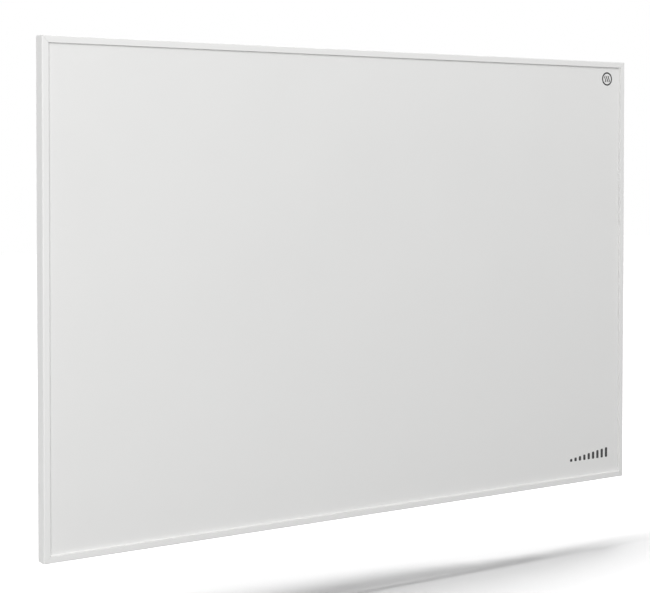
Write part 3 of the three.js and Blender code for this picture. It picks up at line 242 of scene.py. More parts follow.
def apply_modifier(piece, kind, **settings):
    make_active(piece)
    bpy.ops.object.modifier_add(type=kind)
    modifier = piece.modifiers[-1]
    for name, value in settings.items():
        setattr(modifier, name, value)
    bpy.ops.object.modifier_apply(modifier=modifier.name)


def combine(piece, tool, operation="DIFFERENCE"):
    """Cuts a piece with a tool, or joins or crosses them, and throws the tool away."""
    apply_modifier(piece, "BOOLEAN", operation=operation, object=tool, solver="EXACT")
    bpy.data.objects.remove(tool)


def soften(piece, width, segments=2, angle=40):
    """Rounds every edge that is sharper than an angle."""
    apply_modifier(
        piece,
        "BEVEL",
        width=width,
        segments=segments,
        limit_method="ANGLE",
        angle_limit=math.radians(angle),
    )


def bevel_where(piece, test, radius, segments):
    pick(piece, "EDGE", test)
    bpy.ops.mesh.bevel(offset=radius, segments=segments, affect="EDGES")


def bevel_along(piece, axis, radius, segments):
    """Rounds the edges that run along an axis."""
    bevel_where(piece, lambda edge: runs_along(edge, axis), radius, segments)


def bevel_at(piece, axis, place_at, radius, segments):
    """Rounds the edges that lie at one place along an axis."""
    bevel_where(piece, lambda edge: lies_at(edge, axis, place_at), radius, segments)


def lies_at(edge, axis, place_at):
    """True for an edge whose two ends lie at one place along an axis."""
    return all(near(vert.co[axis], place_at) for vert in edge.verts)


AXIS_TURNS = {"X": (0, math.pi / 2, 0), "Y": (math.pi / 2, 0, 0), "Z": (0, 0, 0)}


def add_rod(name, radius, start, length, axis="Z", sides=48):
    """A rod that runs from its start along an axis, open for editing."""
    middle = Vector(start)
    middle["XYZ".index(axis)] += length / 2
    deselect()
    bpy.ops.mesh.primitive_cylinder_add(
        vertices=sides,
        radius=radius,
        depth=length,
        location=middle,
        rotation=AXIS_TURNS[axis],
    )
    return just_added(name)


def bore(piece, radius, start, length, axis="Y", sides=48):
    combine(piece, add_rod("hole", radius, start, length, axis, sides))


def cut_block(piece, middle, half):
    """Cuts a block out of a piece, given by its middle and its half size."""
    combine(piece, add_block("hole", Vector(middle) - Vector(half), Vector(middle) + Vector(half)))


def draw_chain(name, points):
    """A plane merged to one vertex, which is then drawn out through the points, open for editing."""
    deselect()
    bpy.ops.mesh.primitive_plane_add(size=1, location=(0, 0, 0))
    piece = just_added(name)
    bpy.ops.mesh.select_mode(type="VERT")
    bpy.ops.mesh.select_all(action="SELECT")
    bpy.ops.mesh.merge(type="CENTER")
    pen = Vector((0, 0, 0))
    for number, point in enumerate(points):
        step = Vector(point) - pen
        if number == 0:
            bpy.ops.transform.translate(value=step)
        else:
            bpy.ops.mesh.extrude_vertices_move(TRANSFORM_OT_translate={"value": step})
        pen += step
    bpy.ops.mesh.select_all(action="SELECT")
    return piece


def turn_profile(name, profile, steps=48):
    """A turned piece: its profile of (radius, height) points, spun about the z axis. A profile that
    leaves the axis free is closed to a ring."""
    points = [(radius, 0, height) for radius, height in profile]
    if profile[0][0] > 0:
        points.append(points[0])
    piece = draw_chain(name, points)
    bpy.ops.mesh.spin(steps=steps, angle=math.tau, center=(0, 0, 0), axis=(0, 0, 1))
    tidy_mesh(piece)
    return piece


def in_mm(profile):
    return [(radius * MM, height * MM) for radius, height in profile]


def join_pieces(pieces, name):
    deselect()
    for piece in pieces:
        piece.select_set(True)
    bpy.context.view_layer.objects.active = pieces[0]
    bpy.ops.object.join()
    joined = bpy.context.object
    joined.name = name
    joined.data.name = name
    return joined


def tidy_mesh(piece):
    """Merges doubled vertices and points every face outwards."""
    edit(piece)
    bpy.ops.mesh.select_all(action="SELECT")
    bpy.ops.mesh.remove_doubles(threshold=1e-6)
    bpy.ops.mesh.normals_make_consistent(inside=False)
    end_editing()


def shade(piece, angle):
    """Smooth across soft edges and sharp at hard ones, with flat faces kept flat."""
    make_active(piece)
    bpy.ops.object.shade_smooth_by_angle(angle=math.radians(angle))
    apply_modifier(piece, "WEIGHTED_NORMAL", keep_sharp=True)


def finished(piece, angle=35):
    tidy_mesh(piece)
    shade(piece, angle)
    return piece


def copy_piece(piece, name):
    """A copy with its own mesh."""
    make_active(piece)
    bpy.ops.object.duplicate(linked=False)
    copy = bpy.context.object
    copy.name = name
    copy.data.name = name
    return copy


def place(piece, location=(0, 0, 0), turn=0.0, axis="Y"):
    """Turns a piece about an axis through the origin, moves it, and puts its place in its mesh."""
    make_active(piece)
    piece.matrix_world = Matrix.Translation(location) @ Matrix.Rotation(math.radians(turn), 4, axis)
    bpy.ops.object.transform_apply(location=True, rotation=True, scale=True)
    return piece


def put_on(piece, body, material, nodes=()):
    """Gives a piece its finish and its body, and hides the CAD nodes it stands for."""
    end_editing()
    piece.data.materials.clear()
    piece.data.materials.append(material)
    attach(piece, body)
    if nodes:
        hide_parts(*nodes)
    return piece


def middle_of(name):
    low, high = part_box(name)
    return (low + high) / 2


def numbered(name, count=4):
    return [f"{name}_{number}" for number in range(1, count + 1)]


def put_copies(piece, nodes, ending, behind_mm, turn, body, material):
    """Puts a copy of a turned piece on each node it stands for, with its axis along y and its height 0
    this far in front of the node's rear, and throws the piece away."""
    for node in nodes:
        at = middle_of(node)
        copy = copy_piece(piece, f"{node}_{ending}")
        place(copy, (at.x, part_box(node)[1].y - behind_mm * MM, at.z), turn, "X")
        put_on(copy, body, material, [node])
    bpy.data.objects.remove(piece)


# ---------------------------------------------------------------- material nodes


def add_node(tree, kind, inputs=None, **settings):
    """Adds a node. Inputs maps its sockets to values, or to the outputs that feed them."""
    made = tree.nodes.new(kind)
    for name, value in settings.items():
        setattr(made, name, value)
    for socket, value in (inputs or {}).items():
        if isinstance(value, bpy.types.NodeSocket):
            tree.links.new(value, made.inputs[socket])
        else:
            made.inputs[socket].default_value = value
    return made


def rgba(colour, share=1.0):
    return tuple(min(level * share, 1.0) for level in colour) + (1.0,)


def object_place(tree):
    return add_node(tree, "ShaderNodeTexCoord").outputs["Object"]


def made_once(fill):
    """Turns a function that fills a node tree and returns its shader into one that makes a named
    material, or finds it if it was made before."""

    def find_or_make(name, *settings):
        if name not in bpy.data.materials:
            material = bpy.data.materials.new(name)
            material.use_nodes = True
            tree = material.node_tree
            tree.nodes.clear()
            add_node(tree, "ShaderNodeOutputMaterial", {"Surface": fill(tree, *settings)})
        return bpy.data.materials[name]

    return find_or_make


def noise(tree, place_on, width, detail, **more):
    """A noise pattern whose features are about as wide as width."""
    inputs = {"Vector": place_on, "Scale": 1 / width, "Detail": detail, **more}
    return add_node(tree, "ShaderNodeTexNoise", inputs).outputs["Fac"]


def scaled(tree, vector, factors):
    inputs = {0: vector, 1: factors}
    return add_node(tree, "ShaderNodeVectorMath", inputs, operation="MULTIPLY").outputs["Vector"]


def moved(tree, vector, way):
    inputs = {0: vector, 1: way}
    return add_node(tree, "ShaderNodeVectorMath", inputs, operation="ADD").outputs["Vector"]


def blend(tree, share, first, second):
    return add_node(tree, "ShaderNodeMix", {0: share, 6: first, 7: second}, data_type="RGBA").outputs[2]


def spread(tree, value, low, high, start=0.3, end=0.7):
    """Maps the part of a value from start to end, the middle of a noise by default, to low and high."""
    inputs = {"Value": value, "From Min": start, "From Max": end, "To Min": low, "To Max": high}
    return add_node(tree, "ShaderNodeMapRange", inputs).outputs["Result"]


def relief_of(tree, height, strength, distance):
    inputs = {"Height": height, "Strength": strength, "Distance": distance}
    return add_node(tree, "ShaderNodeBump", inputs).outputs["Normal"]


def surface(tree, colour, roughness, **more):
    inputs = {"Base Color": colour, "Roughness": roughness, **more}
    return add_node(tree, "ShaderNodeBsdfPrincipled", inputs).outputs[0]


@made_once
def powder_coat(tree, colour, wave):
    """Polyester powder coat, sprayed and baked. The melted grains leave a shallow orange peel about as
    wide as wave, which breaks up highlights, and the coat's gloss drifts a little over the sheet."""
    place_on = object_place(tree)
    peel = noise(tree, place_on, wave, 2.0, Roughness=0.4)
    drift = noise(tree, place_on, 120 * MM, 3.0)
    tint = blend(tree, drift, rgba(colour, 0.985), rgba(colour, 1.015))
    bump = relief_of(tree, peel, 0.25, 0.02 * MM)
    return surface(tree, tint, spread(tree, drift, 0.42, 0.5), Normal=bump, IOR=1.5)


@made_once
def moulded_plastic(tree, colour, roughness, grain, relief, flow=0.02):
    """Injection-moulded plastic. The spark-eroded mould leaves a fine texture as wide as grain and as
    high as relief, and the melt's flow leaves clouds that are barely darker."""
    place_on = object_place(tree)
    texture = noise(tree, place_on, grain, 2.0)
    clouds = noise(tree, place_on, 25 * MM, 2.0)
    tint = blend(tree, clouds, rgba(colour, 1 - flow), rgba(colour, 1 + flow))
    gloss = spread(tree, texture, roughness * 0.9, roughness * 1.1)
    return surface(tree, tint, gloss, Normal=relief_of(tree, texture, 0.5, relief), IOR=1.5)


@made_once
def worked_metal(tree, colour, dull, bright, grain, relief, stretch=(1, 1, 1)):
    """Bare or plated metal. Its grain is stretched along the way it was rolled or drawn, and shifts the
    roughness between dull and bright."""
    marks = noise(tree, scaled(tree, object_place(tree), stretch), grain, 4.0, Roughness=0.6)
    tint = blend(tree, marks, rgba(colour, 0.9), rgba(colour, 1.05))
    bump = relief_of(tree, marks, 0.4, relief)
    return surface(tree, tint, spread(tree, marks, dull, bright), Normal=bump, Metallic=1.0)


@made_once
def galvanised_steel(tree, colour):
    """Hot-dip galvanised sheet steel. The zinc froze in crystals about 9 mm wide, which show as a
    patchwork of slightly lighter and duller grey, under a fine cloudiness from the skin pass."""
    place_on = object_place(tree)
    ragged = add_node(
        tree, "ShaderNodeTexNoise", {"Vector": place_on, "Scale": 1 / (6 * MM), "Detail": 3.0}
    )
    shift = scaled(tree, ragged.outputs["Color"], (5 * MM, 5 * MM, 5 * MM))
    bent = moved(tree, place_on, shift)
    crystals = add_node(tree, "ShaderNodeTexVoronoi", {"Vector": bent, "Scale": 1 / (9 * MM)})
    one_each = add_node(tree, "ShaderNodeSeparateColor", {"Color": crystals.outputs["Color"]}).outputs
    tint = blend(tree, one_each["Red"], rgba(colour, 0.87), rgba(colour, 1.07))
    hazed = blend(tree, noise(tree, place_on, 90 * MM, 4.0), tint, rgba(colour, 0.92))
    gloss = spread(tree, one_each["Green"], 0.4, 0.52, 0, 1)
    bump = relief_of(tree, one_each["Blue"], 0.15, 0.02 * MM)
    return surface(tree, hazed, gloss, Normal=bump, Metallic=1.0)


@made_once
def printing_ink(tree, colour):
    """Screen-printed enamel ink: matt charcoal, a little uneven where the mesh let it through."""
    cover = noise(tree, object_place(tree), 1.5 * MM, 3.0)
    return surface(tree, blend(tree, cover, rgba(colour, 0.9), rgba(colour, 1.12)), 0.6)


@made_once
def mineral_fibre(tree, colour):
    """Pressed mineral fibre: tangled straw-coloured fibres about a millimetre apart, with darker shot."""
    place_on = object_place(tree)
    fibres = noise(tree, scaled(tree, place_on, (1, 1, 0.15)), 1.2 * MM, 5.0, Distortion=1.5)
    shot = spread(tree, noise(tree, place_on, 2.5 * MM, 2.0), 0, 1, 0.66, 0.72)
    tint = blend(tree, fibres, rgba(colour, 0.6), rgba(colour, 1.25))
    speckled = blend(tree, shot, tint, rgba(colour, 0.35))
    return surface(tree, speckled, 0.95, Normal=relief_of(tree, fibres, 0.9, 0.3 * MM))


def galvanised_sheet():
    return galvanised_steel("galvanised_steel", colours().zinc)


def zinc_plated_steel():
    # Bright zinc plate: clear grey gloss with faint drawing lines round the screw.
    return worked_metal("zinc_plated_steel", colours().bright_zinc, 0.24, 0.34, 1.5 * MM, 0.01 * MM)


def drawn_aluminium():
    # Drawn and pressed aluminium: softer and whiter than the zinc, with drawing lines.
    return worked_metal(
        "drawn_aluminium", colours().aluminium, 0.34, 0.46, 1.2 * MM, 0.02 * MM, (1, 1, 0.2)
    )


def white_abs():
    # White ABS: satin, with the fine texture of its mould.
    return moulded_plastic("moulded_white_abs", colours().box_plastic, 0.46, 0.7 * MM, 0.03 * MM)


# ---------------------------------------------------------------- stage

CAMERA_PLACE = (-1.1359, -1.6818, 0.1601)
CAMERA_YAW = -33.12
CAMERA_PITCH = -1.24
FOCAL_PIXELS = 1533
PICTURE_WIDTH = 650
SENSOR_MM = 36
FRAME_DROP_PIXELS = 103  # the picture's middle lies this far below the optical axis
FLOOR_HEIGHT = -0.405
FLOOR_SIZE = 14
WHITE = (1.0, 1.0, 1.0, 1.0)
WORLD_STRENGTH = 0.45
# These light the object and leave the floor alone.
OBJECT_LAMPS = (
    ("key_lamp", (-1.6, -1.8, 0.8), (0, 0, 0), 1.2, 1.2, 24),
    ("low_lamp", (-1.6, -2.2, -0.3), (0, 0, 0), 1.6, 0.2, 14.5),
    ("front_fill", (1.0, -1.4, 1.2), (0.3, 0, 0.1), 1.0, 1.0, 10.7),
    ("left_fill", (-3.0, 0.3, 0.3), (-0.45, 0, 0), 0.6, 1.0, 10),
    ("rear_fill", (1.5, 3.0, 1.6), (0, 0, 0), 2.0, 2.0, 75),
)
# These light only the floor, and the object still throws its shadow there.
FLOOR_LAMPS = (
    ("floor_strip", (-0.5, -0.02, 1.2), (-0.5, -0.02, 0), 3.0, 0.2, 200, 5),
    ("floor_side", (3.5, -0.3, 1.4), (0.3, 0, -0.4), 0.5, 1.4, 1270, 0),
)
FLOOR_SEEN = 0.108  # how much light the floor sends to the camera
FLOOR_BOUNCE = 0.006  # and to the object
FLOOR_GLOW_NEAR = 0.02  # the painted glow of the floor under the panel, which rises to 1 over this reach:
GLOW_REACH = (0.12, 0.5)
GLOW_PLACE = (-0.1, 0.04, 0)  # moves the dim middle of the painted glow, where the lamps' shadow shows, under the panel
GLOW_SHAPE = (0.35, 1, 0)  # and makes it as long as the panel


def aim(place_at, target):
    return (Vector(target) - Vector(place_at)).to_track_quat("-Z", "Y").to_euler()


def add_lamp(name, place_at, target, width, height, power, roll=0):
    deselect()
    bpy.ops.object.light_add(type="AREA", location=place_at, rotation=aim(place_at, target))
    lamp = bpy.context.object
    lamp.name = name
    lamp.data.shape = "RECTANGLE"
    lamp.data.size = width
    lamp.data.size_y = height
    lamp.data.energy = power
    lamp.rotation_euler.rotate_axis("Z", math.radians(roll))
    return lamp


def seen_directly(tree):
    """1 for a ray from the camera, a reflection or a glass, and 0 for light that bounces."""
    path = add_node(tree, "ShaderNodeLightPath")
    seen = path.outputs["Is Camera Ray"]
    for kind in ("Is Glossy Ray", "Is Transmission Ray"):
        seen = add_node(tree, "ShaderNodeMath", {0: seen, 1: path.outputs[kind]}, operation="MAXIMUM")
        seen = seen.outputs[0]
    return seen


@made_once
def studio_floor(tree):
    """Matt white studio paper under painted light: a glow seen only directly makes it white away from the
    panel and fades to almost nothing in an oval under it, where the lamps light it and the object's shadow
    falls. It sends less light back to the object than it shows, so that the object keeps its shading."""
    seen = seen_directly(tree)
    albedo = spread(tree, seen, FLOOR_BOUNCE, FLOOR_SEEN, 0, 1)
    paper = add_node(tree, "ShaderNodeBsdfDiffuse", {"Color": albedo}).outputs[0]
    # Painted light: the glow whitens the floor away from the panel and fades out in an oval under it.
    oval = scaled(tree, moved(tree, object_place(tree), GLOW_PLACE), GLOW_SHAPE)
    distance = add_node(tree, "ShaderNodeVectorMath", {0: oval}, operation="LENGTH").outputs["Value"]
    start, end = GLOW_REACH
    ramp = {"Value": distance, "From Min": start, "From Max": end, "To Min": FLOOR_GLOW_NEAR}
    glow = add_node(tree, "ShaderNodeMapRange", ramp, interpolation_type="SMOOTHSTEP").outputs["Result"]
    shown = add_node(tree, "ShaderNodeMath", {0: glow, 1: seen}, operation="MULTIPLY").outputs[0]
    lit = add_node(tree, "ShaderNodeEmission", {"Color": WHITE, "Strength": shown})
    return add_node(tree, "ShaderNodeAddShader", {0: paper, 1: lit.outputs[0]}).outputs[0]


class PANEL_HEATER_OT_stage(bpy.types.Operator):
    """Sets up the camera, the pale floor, the white surroundings and the soft lamps"""

    bl_idname = "panel_heater.stage"
    bl_label = "Stage"

    def execute(self, context):
        scene = context.scene
        scene.view_settings.view_transform = "Standard"
        deselect()
        turn = (math.radians(90 + CAMERA_PITCH), 0, math.radians(CAMERA_YAW))
        bpy.ops.object.camera_add(location=CAMERA_PLACE, rotation=turn)
        camera = context.object
        camera.name = "camera"
        camera.data.sensor_width = SENSOR_MM
        camera.data.lens = FOCAL_PIXELS / PICTURE_WIDTH * SENSOR_MM
        camera.data.shift_y = -FRAME_DROP_PIXELS / PICTURE_WIDTH
        camera.data.clip_start = 0.05
        scene.camera = camera

        scene.world = bpy.data.worlds.new("studio")
        scene.world.use_nodes = True
        tree = scene.world.node_tree
        tree.nodes.clear()
        white = {"Color": WHITE, "Strength": 1.0}
        soft = add_node(tree, "ShaderNodeBackground", {**white, "Strength": WORLD_STRENGTH}).outputs[0]
        shown = add_node(tree, "ShaderNodeBackground", white).outputs[0]
        mix = add_node(tree, "ShaderNodeMixShader", {0: seen_directly(tree), 1: soft, 2: shown})
        add_node(tree, "ShaderNodeOutputWorld", {"Surface": mix.outputs[0]})

        deselect()
        bpy.ops.mesh.primitive_plane_add(size=FLOOR_SIZE, location=(0, 0, FLOOR_HEIGHT))
        floor = just_added("floor")
        end_editing()
        floor.data.materials.append(studio_floor("studio_floor"))

        only_floor = bpy.data.collections.new("only_floor")
        only_floor.objects.link(floor)
        not_floor = bpy.data.collections.new("not_floor")
        not_floor.objects.link(floor)
        not_floor.collection_objects[0].light_linking.link_state = "EXCLUDE"
        for lamps, receivers in ((FLOOR_LAMPS, only_floor), (OBJECT_LAMPS, not_floor)):
            for lamp in lamps:
                add_lamp(*lamp).light_linking.receiver_collection = receivers
        return {"FINISHED"}


# ---------------------------------------------------------------- frame


def pick_face_at(piece, axis, place_at, test):
    """Selects the faces whose middle lies at one place along an axis and passes the test."""
    pick(piece, "FACE", lambda face: near(centre_of(face)[axis], place_at) and test(centre_of(face)))


def model_member(name, length):
    """A mitred member of the frame along z. Its outer side lies on x = 0 and x runs inwards."""
    size = sizes()
    low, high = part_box("frame_left")
    front, rear = low.y, high.y
    ledge_end = high.x - low.x
    half = length / 2
    overrun = 2 * MM  # cut off again at the mitres
    piece = add_block(
        name,
        (0, front, -half - overrun),
        (size.front_bar_width, front + size.front_bar_depth, half + overrun),
    )
    # The chamber for the corner keys runs right through the bar.
    pick(piece, "FACE", lambda face: abs(face.normal.z) > 0.9)
    bpy.ops.mesh.inset(thickness=size.bar_wall, depth=0)
    bpy.ops.mesh.bridge_edge_loops()
    pick(piece, "VERT", lambda vert: near(vert.co.x, size.bar_wall))
    bpy.ops.transform.translate(value=(size.frame_wall - size.bar_wall, 0, 0))
    # The ledge that carries the plate.
    bar_rear = front + size.front_bar_depth
    ledge_front = bar_rear - size.ledge
    bisect_all((0, ledge_front, 0), (0, 1, 0))
    pick_face_at(piece, 0, size.front_bar_width, lambda middle: middle.y > ledge_front)
    extrude(x=ledge_end - size.front_bar_width)
    # The side wall goes on to the rear and turns in as the lip.
    bisect_all((size.frame_wall, 0, 0), (1, 0, 0))
    pick_face_at(piece, 1, bar_rear, lambda middle: middle.x < size.frame_wall)
    extrude(y=rear - bar_rear)
    bisect_all((0, rear - size.rear_lip, 0), (0, 1, 0))
    pick_face_at(piece, 0, size.frame_wall, lambda middle: middle.y > rear - size.rear_lip)
    extrude(x=size.rear_lip_width - size.frame_wall)
    for x, y, radius, steps in (
        (0, front, size.front_edge_radius, 8),
        (0, rear, size.rear_edge_radius, 4),
        (size.front_bar_width, front, size.bar_edge, 3),
        (size.rear_lip_width, rear, size.bar_edge, 2),
    ):
        bevel_where(
            piece,
            lambda edge: runs_along(edge, 2) and lies_at(edge, 0, x) and lies_at(edge, 1, y),
            radius,
            steps,
        )
    for side in (1, -1):
        bisect_all((0, 0, side * (half - size.mitre_gap)), (1, 0, side), cut_off=True)
    return finished(piece)


def frame_outline():
    """The frame's left, right, bottom and top."""
    left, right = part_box("frame_left")[0].x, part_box("frame_right")[1].x
    return left, right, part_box("frame_bottom")[0].z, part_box("frame_top")[1].z


class PANEL_HEATER_OT_frame(bpy.types.Operator):
    """Models the four mitred members of the aluminium frame"""

    bl_idname = "panel_heater.frame"
    bl_label = "Frame members"

    def execute(self, context):
        paint = powder_coat("powder_coated_aluminium", colours().frame_paint, 1.6 * MM)
        left, right, bottom, top = frame_outline()
        upright = model_member("frame_left_profile", top - bottom)
        rail = model_member("frame_bottom_profile", right - left)
        other_upright = copy_piece(upright, "frame_right_profile")
        other_rail = copy_piece(rail, "frame_top_profile")
        for piece, spot, turn, node in (
            (upright, (left, 0, 0), 0, "frame_left"),
            (other_upright, (right, 0, 0), 180, "frame_right"),
            (rail, (0, 0, bottom), -90, "frame_bottom"),
            (other_rail, (0, 0, top), 90, "frame_top"),
        ):
            put_on(place(piece, spot, turn), HEATER, paint, [node])
        return {"FINISHED"}


# ---------------------------------------------------------------- plate and its marks


class PANEL_HEATER_OT_plate(bpy.types.Operator):
    """Models the heated front plate with its softened edge"""

    bl_idname = "panel_heater.plate"
    bl_label = "Front plate"

    def execute(self, context):
        size = sizes()
        low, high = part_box("front_plate")
        inset = size.front_bar_width + size.plate_gap
        left, right, bottom, top = frame_outline()
        corner = (right - inset, high.y, top - inset)
        piece = add_block("front_plate_sheet", (left + inset, low.y, bottom + inset), corner)
        bevel_at(piece, 1, low.y, size.plate_edge, 3)
        paint = powder_coat("powder_coated_steel", colours().plate_paint, 2.0 * MM)
        put_on(finished(piece), HEATER, paint, ["front_plate"])
        return {"FINISHED"}


RING_PLACE = (420.2 * MM, 277.8 * MM)
RING_RADIUS = 9.7 * MM
RING_LINE = 2.1 * MM
WAVE_HEIGHT = 9 * MM
WAVE_LINE = 1.6 * MM
WAVE_SWING = 0.9 * MM
WAVE_STEPS = 12
WAVE_SPREAD = 3.6 * MM
LEVELS_PLACE = (351.3 * MM, -271.4 * MM)
LEVELS_WIDTH = 72 * MM
LEVELS_HEIGHT = (4 * MM, 14 * MM)
LEVELS_COUNT = 9
LEVELS_LINE = 4.4 * MM
LEVELS_ROUNDING = 0.3  # of a bar's width


def printed_wave(name, x, z, plate_front):
    """One rising wave of warm air, drawn upwards from a short foot."""
    rise = sizes().print_height
    step = WAVE_HEIGHT / WAVE_STEPS
    foot = z - WAVE_HEIGHT / 2
    low = (x - WAVE_LINE / 2, plate_front - rise, foot - step / 10)
    piece = add_block(name, low, (x + WAVE_LINE / 2, plate_front, foot))
    swing = 0.0
    for number in range(1, WAVE_STEPS + 1):
        pick(piece, "FACE", lambda face: face.normal.z > 0.5 and lies_on_top(piece, face))
        target = WAVE_SWING * math.sin(math.tau * number / WAVE_STEPS)
        extrude(x=target - swing, z=step)
        swing = target
    return piece


def lies_on_top(piece, face):
    top = max(vert.co.z for vert in bmesh.from_edit_mesh(piece.data).verts)
    return all(near(vert.co.z, top) for vert in face.verts)


class PANEL_HEATER_OT_plate_marks(bpy.types.Operator):
    """Prints the plain heat symbol and the rising row of level bars on the plate"""

    bl_idname = "panel_heater.plate_marks"
    bl_label = "Printed marks"

    def execute(self, context):
        plate_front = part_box("front_plate")[0].y
        rise = sizes().print_height
        ink = printing_ink("screen_printing_ink", colours().printing_ink)
        x, z = RING_PLACE
        inner = RING_RADIUS - RING_LINE
        section = [(inner, 0), (RING_RADIUS, 0), (RING_RADIUS, rise), (inner, rise)]
        ring = place(turn_profile("heat_symbol_ring", section, 64), (x, plate_front, z), 90, "X")
        waves = [
            printed_wave("heat_wave", x + side * WAVE_SPREAD, z, plate_front) for side in (-1, 0, 1)
        ]
        symbol = join_pieces([ring, *waves], "heat_symbol_print")
        tidy_mesh(symbol)
        put_on(symbol, HEATER, ink)

        start, foot = LEVELS_PLACE
        low, high = LEVELS_HEIGHT
        bars = []
        for number in range(LEVELS_COUNT):
            share = number / (LEVELS_COUNT - 1)
            at = start + share * (LEVELS_WIDTH - LEVELS_LINE)
            height = low + share * (high - low)
            low_end = (at, plate_front - rise, foot)
            bar = add_block("level_bar", low_end, (at + LEVELS_LINE, plate_front, foot + height))
            bevel_along(bar, 1, LEVELS_LINE * LEVELS_ROUNDING, 3)
            bars.append(bar)
        put_on(join_pieces(bars, "level_bars_print"), HEATER, ink)
        return {"FINISHED"}


# ---------------------------------------------------------------- sandwich behind the plate


def finish_nodes(names, material):
    """Gives CAD nodes that already have the right shape their finish."""
    for name in names:
        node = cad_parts[name]
        if not node.material_slots:
            node.data.materials.append(material)
        for slot in node.material_slots:
            slot.material = material


class PANEL_HEATER_OT_sandwich(bpy.types.Operator):
    """Finishes the gasket, films, foils, board, rear cover and corner keys"""

    bl_idname = "panel_heater.sandwich"
    bl_label = "Heated sandwich"

    def execute(self, context):
        # Silicone foam tape: matt off-white with open cells.
        foam = moulded_plastic("silicone_foam_tape", linear("#D9D9D6"), 0.9, 0.9 * MM, 0.3 * MM, 0.04)
        # Polyester film: pale amber and shiny, with a slight cockle.
        film = moulded_plastic("polyester_film", linear("#E6DCAE"), 0.22, 30 * MM, 0.1 * MM, 0.04)
        # Etched resistance foil: warm bronze with rolling lines along its runs.
        track = worked_metal(
            "etched_resistance_foil", linear("#B08A5A"), 0.3, 0.44, 2 * MM, 0.02 * MM, (1, 1, 0.1)
        )
        # Household-bright aluminium foil: mirror-like, broken up by shallow creases.
        foil = worked_metal("bright_aluminium_foil", linear("#DCDFE2"), 0.16, 0.26, 14 * MM, 0.4 * MM)
        finish_nodes(["plate_gasket"], foam)
        finish_nodes(["insulating_sheet_front", "insulating_sheet_rear"], film)
        finish_nodes(["heating_track"], track)
        finish_nodes(["reflector_foil"], foil)
        board = mineral_fibre("pressed_mineral_fibre", colours().mineral_fibre)
        finish_nodes(["insulation_board"], board)
        finish_nodes(["rear_cover"], galvanised_sheet())
        corners = ("bottom_left", "top_left", "top_right", "bottom_right")
        finish_nodes([f"corner_key_{corner}" for corner in corners], drawn_aluminium())
        return {"FINISHED"}


# ---------------------------------------------------------------- hangers and rivets

RIVET_HOLE = 2.3 * MM
SHEARED_EDGE = 0.18 * MM


def model_hanger(name):
    """A pressed hanger: x across it, the wall towards +y, and the screw it hangs on through x = z = 0.
    Its crown's outer face lies on y = 0."""
    size = sizes()
    low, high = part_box("hanger_bracket_1")
    height = high.z - low.z
    crown = size.hanger_crown / 2
    foot = (high.x - low.x) / 2
    drop = high.y - low.y - size.hanger_sheet
    middle_z = size.hanger_above_screw - height / 2
    deselect()
    bpy.ops.mesh.primitive_plane_add(size=1, location=(0, 0, middle_z), rotation=(-math.pi / 2, 0, 0))
    bpy.context.object.scale = (size.hanger_crown, height, 1)
    piece = just_added(name)
    for side in (-1, 1):
        pick(piece, "EDGE", lambda edge: lies_at(edge, 0, side * crown) and lies_at(edge, 1, 0))
        extrude(y=-drop)
        extrude(x=side * (foot - crown))
    for y, radius, segments in ((0, size.hanger_bend, 6), (-drop, size.hanger_bend - size.hanger_sheet, 4)):
        bevel_where(
            piece,
            lambda edge: runs_along(edge, 2)
            and near(abs(edge.verts[0].co.x), crown)
            and lies_at(edge, 1, y),
            radius,
            segments,
        )
    bpy.ops.mesh.select_all(action="SELECT")
    bpy.ops.mesh.normals_make_consistent(inside=False)
    middle = [face for face in bmesh.from_edit_mesh(piece.data).faces if abs(centre_of(face).x) < crown / 2]
    if middle[0].normal.y < 0:
        bpy.ops.mesh.flip_normals()
    apply_modifier(piece, "SOLIDIFY", thickness=size.hanger_sheet, offset=-1, use_even_offset=True)
    slot = add_rod("slot_tool", size.keyhole_slot, (0, -drop, 0), 2 * drop, "Y")
    bisect_all((0, 0, 0), (0, 0, -1), cut_off=True)
    pick(slot, "FACE", lambda face: face.normal.z < -0.9 and near(centre_of(face).z, 0))
    extrude(z=-size.keyhole_drop)
    combine(piece, slot)
    bore(piece, size.keyhole_entry, (0, -drop, -size.keyhole_drop), 2 * drop)
    for side in (-1, 1):
        bore(piece, RIVET_HOLE, (side * (crown + foot) / 2, -2 * drop, middle_z), 2 * drop)
    soften(piece, SHEARED_EDGE)
    return finished(piece)


# Sections of a set blind rivet in millimetres: its tail from the tail's start, its head from the face
# that it clamps, with the broken mandrel in the middle.
RIVET_TAIL = ((0, -2), (1.6, -1.85), (2.7, -1.35), (3, -0.7), (2.95, -0.1), (2.7, 0), (2, 0))
RIVET_HEAD = (
    (2, 0.1), (3.9, 0.1), (4, 0.2), (3.95, 0.38), (3.6, 0.82), (3.0, 1.2), (2.3, 1.46), (1.6, 1.58),
    (1.25, 1.6), (1.12, 1.52), (1.1, 1.0), (0.92, 0.98), (0.9, 1.22), (0.74, 1.3), (0, 1.26),
)
RIVET_HEAD_HEIGHT = 1.6
RIVET_TAIL_LENGTH = 2


def model_rivet(name, tail_start):
    tail = [(radius, tail_start + height) for radius, height in RIVET_TAIL]
    piece = turn_profile(name, in_mm([*tail, *RIVET_HEAD]), 32)
    shade(piece, 40)
    return piece


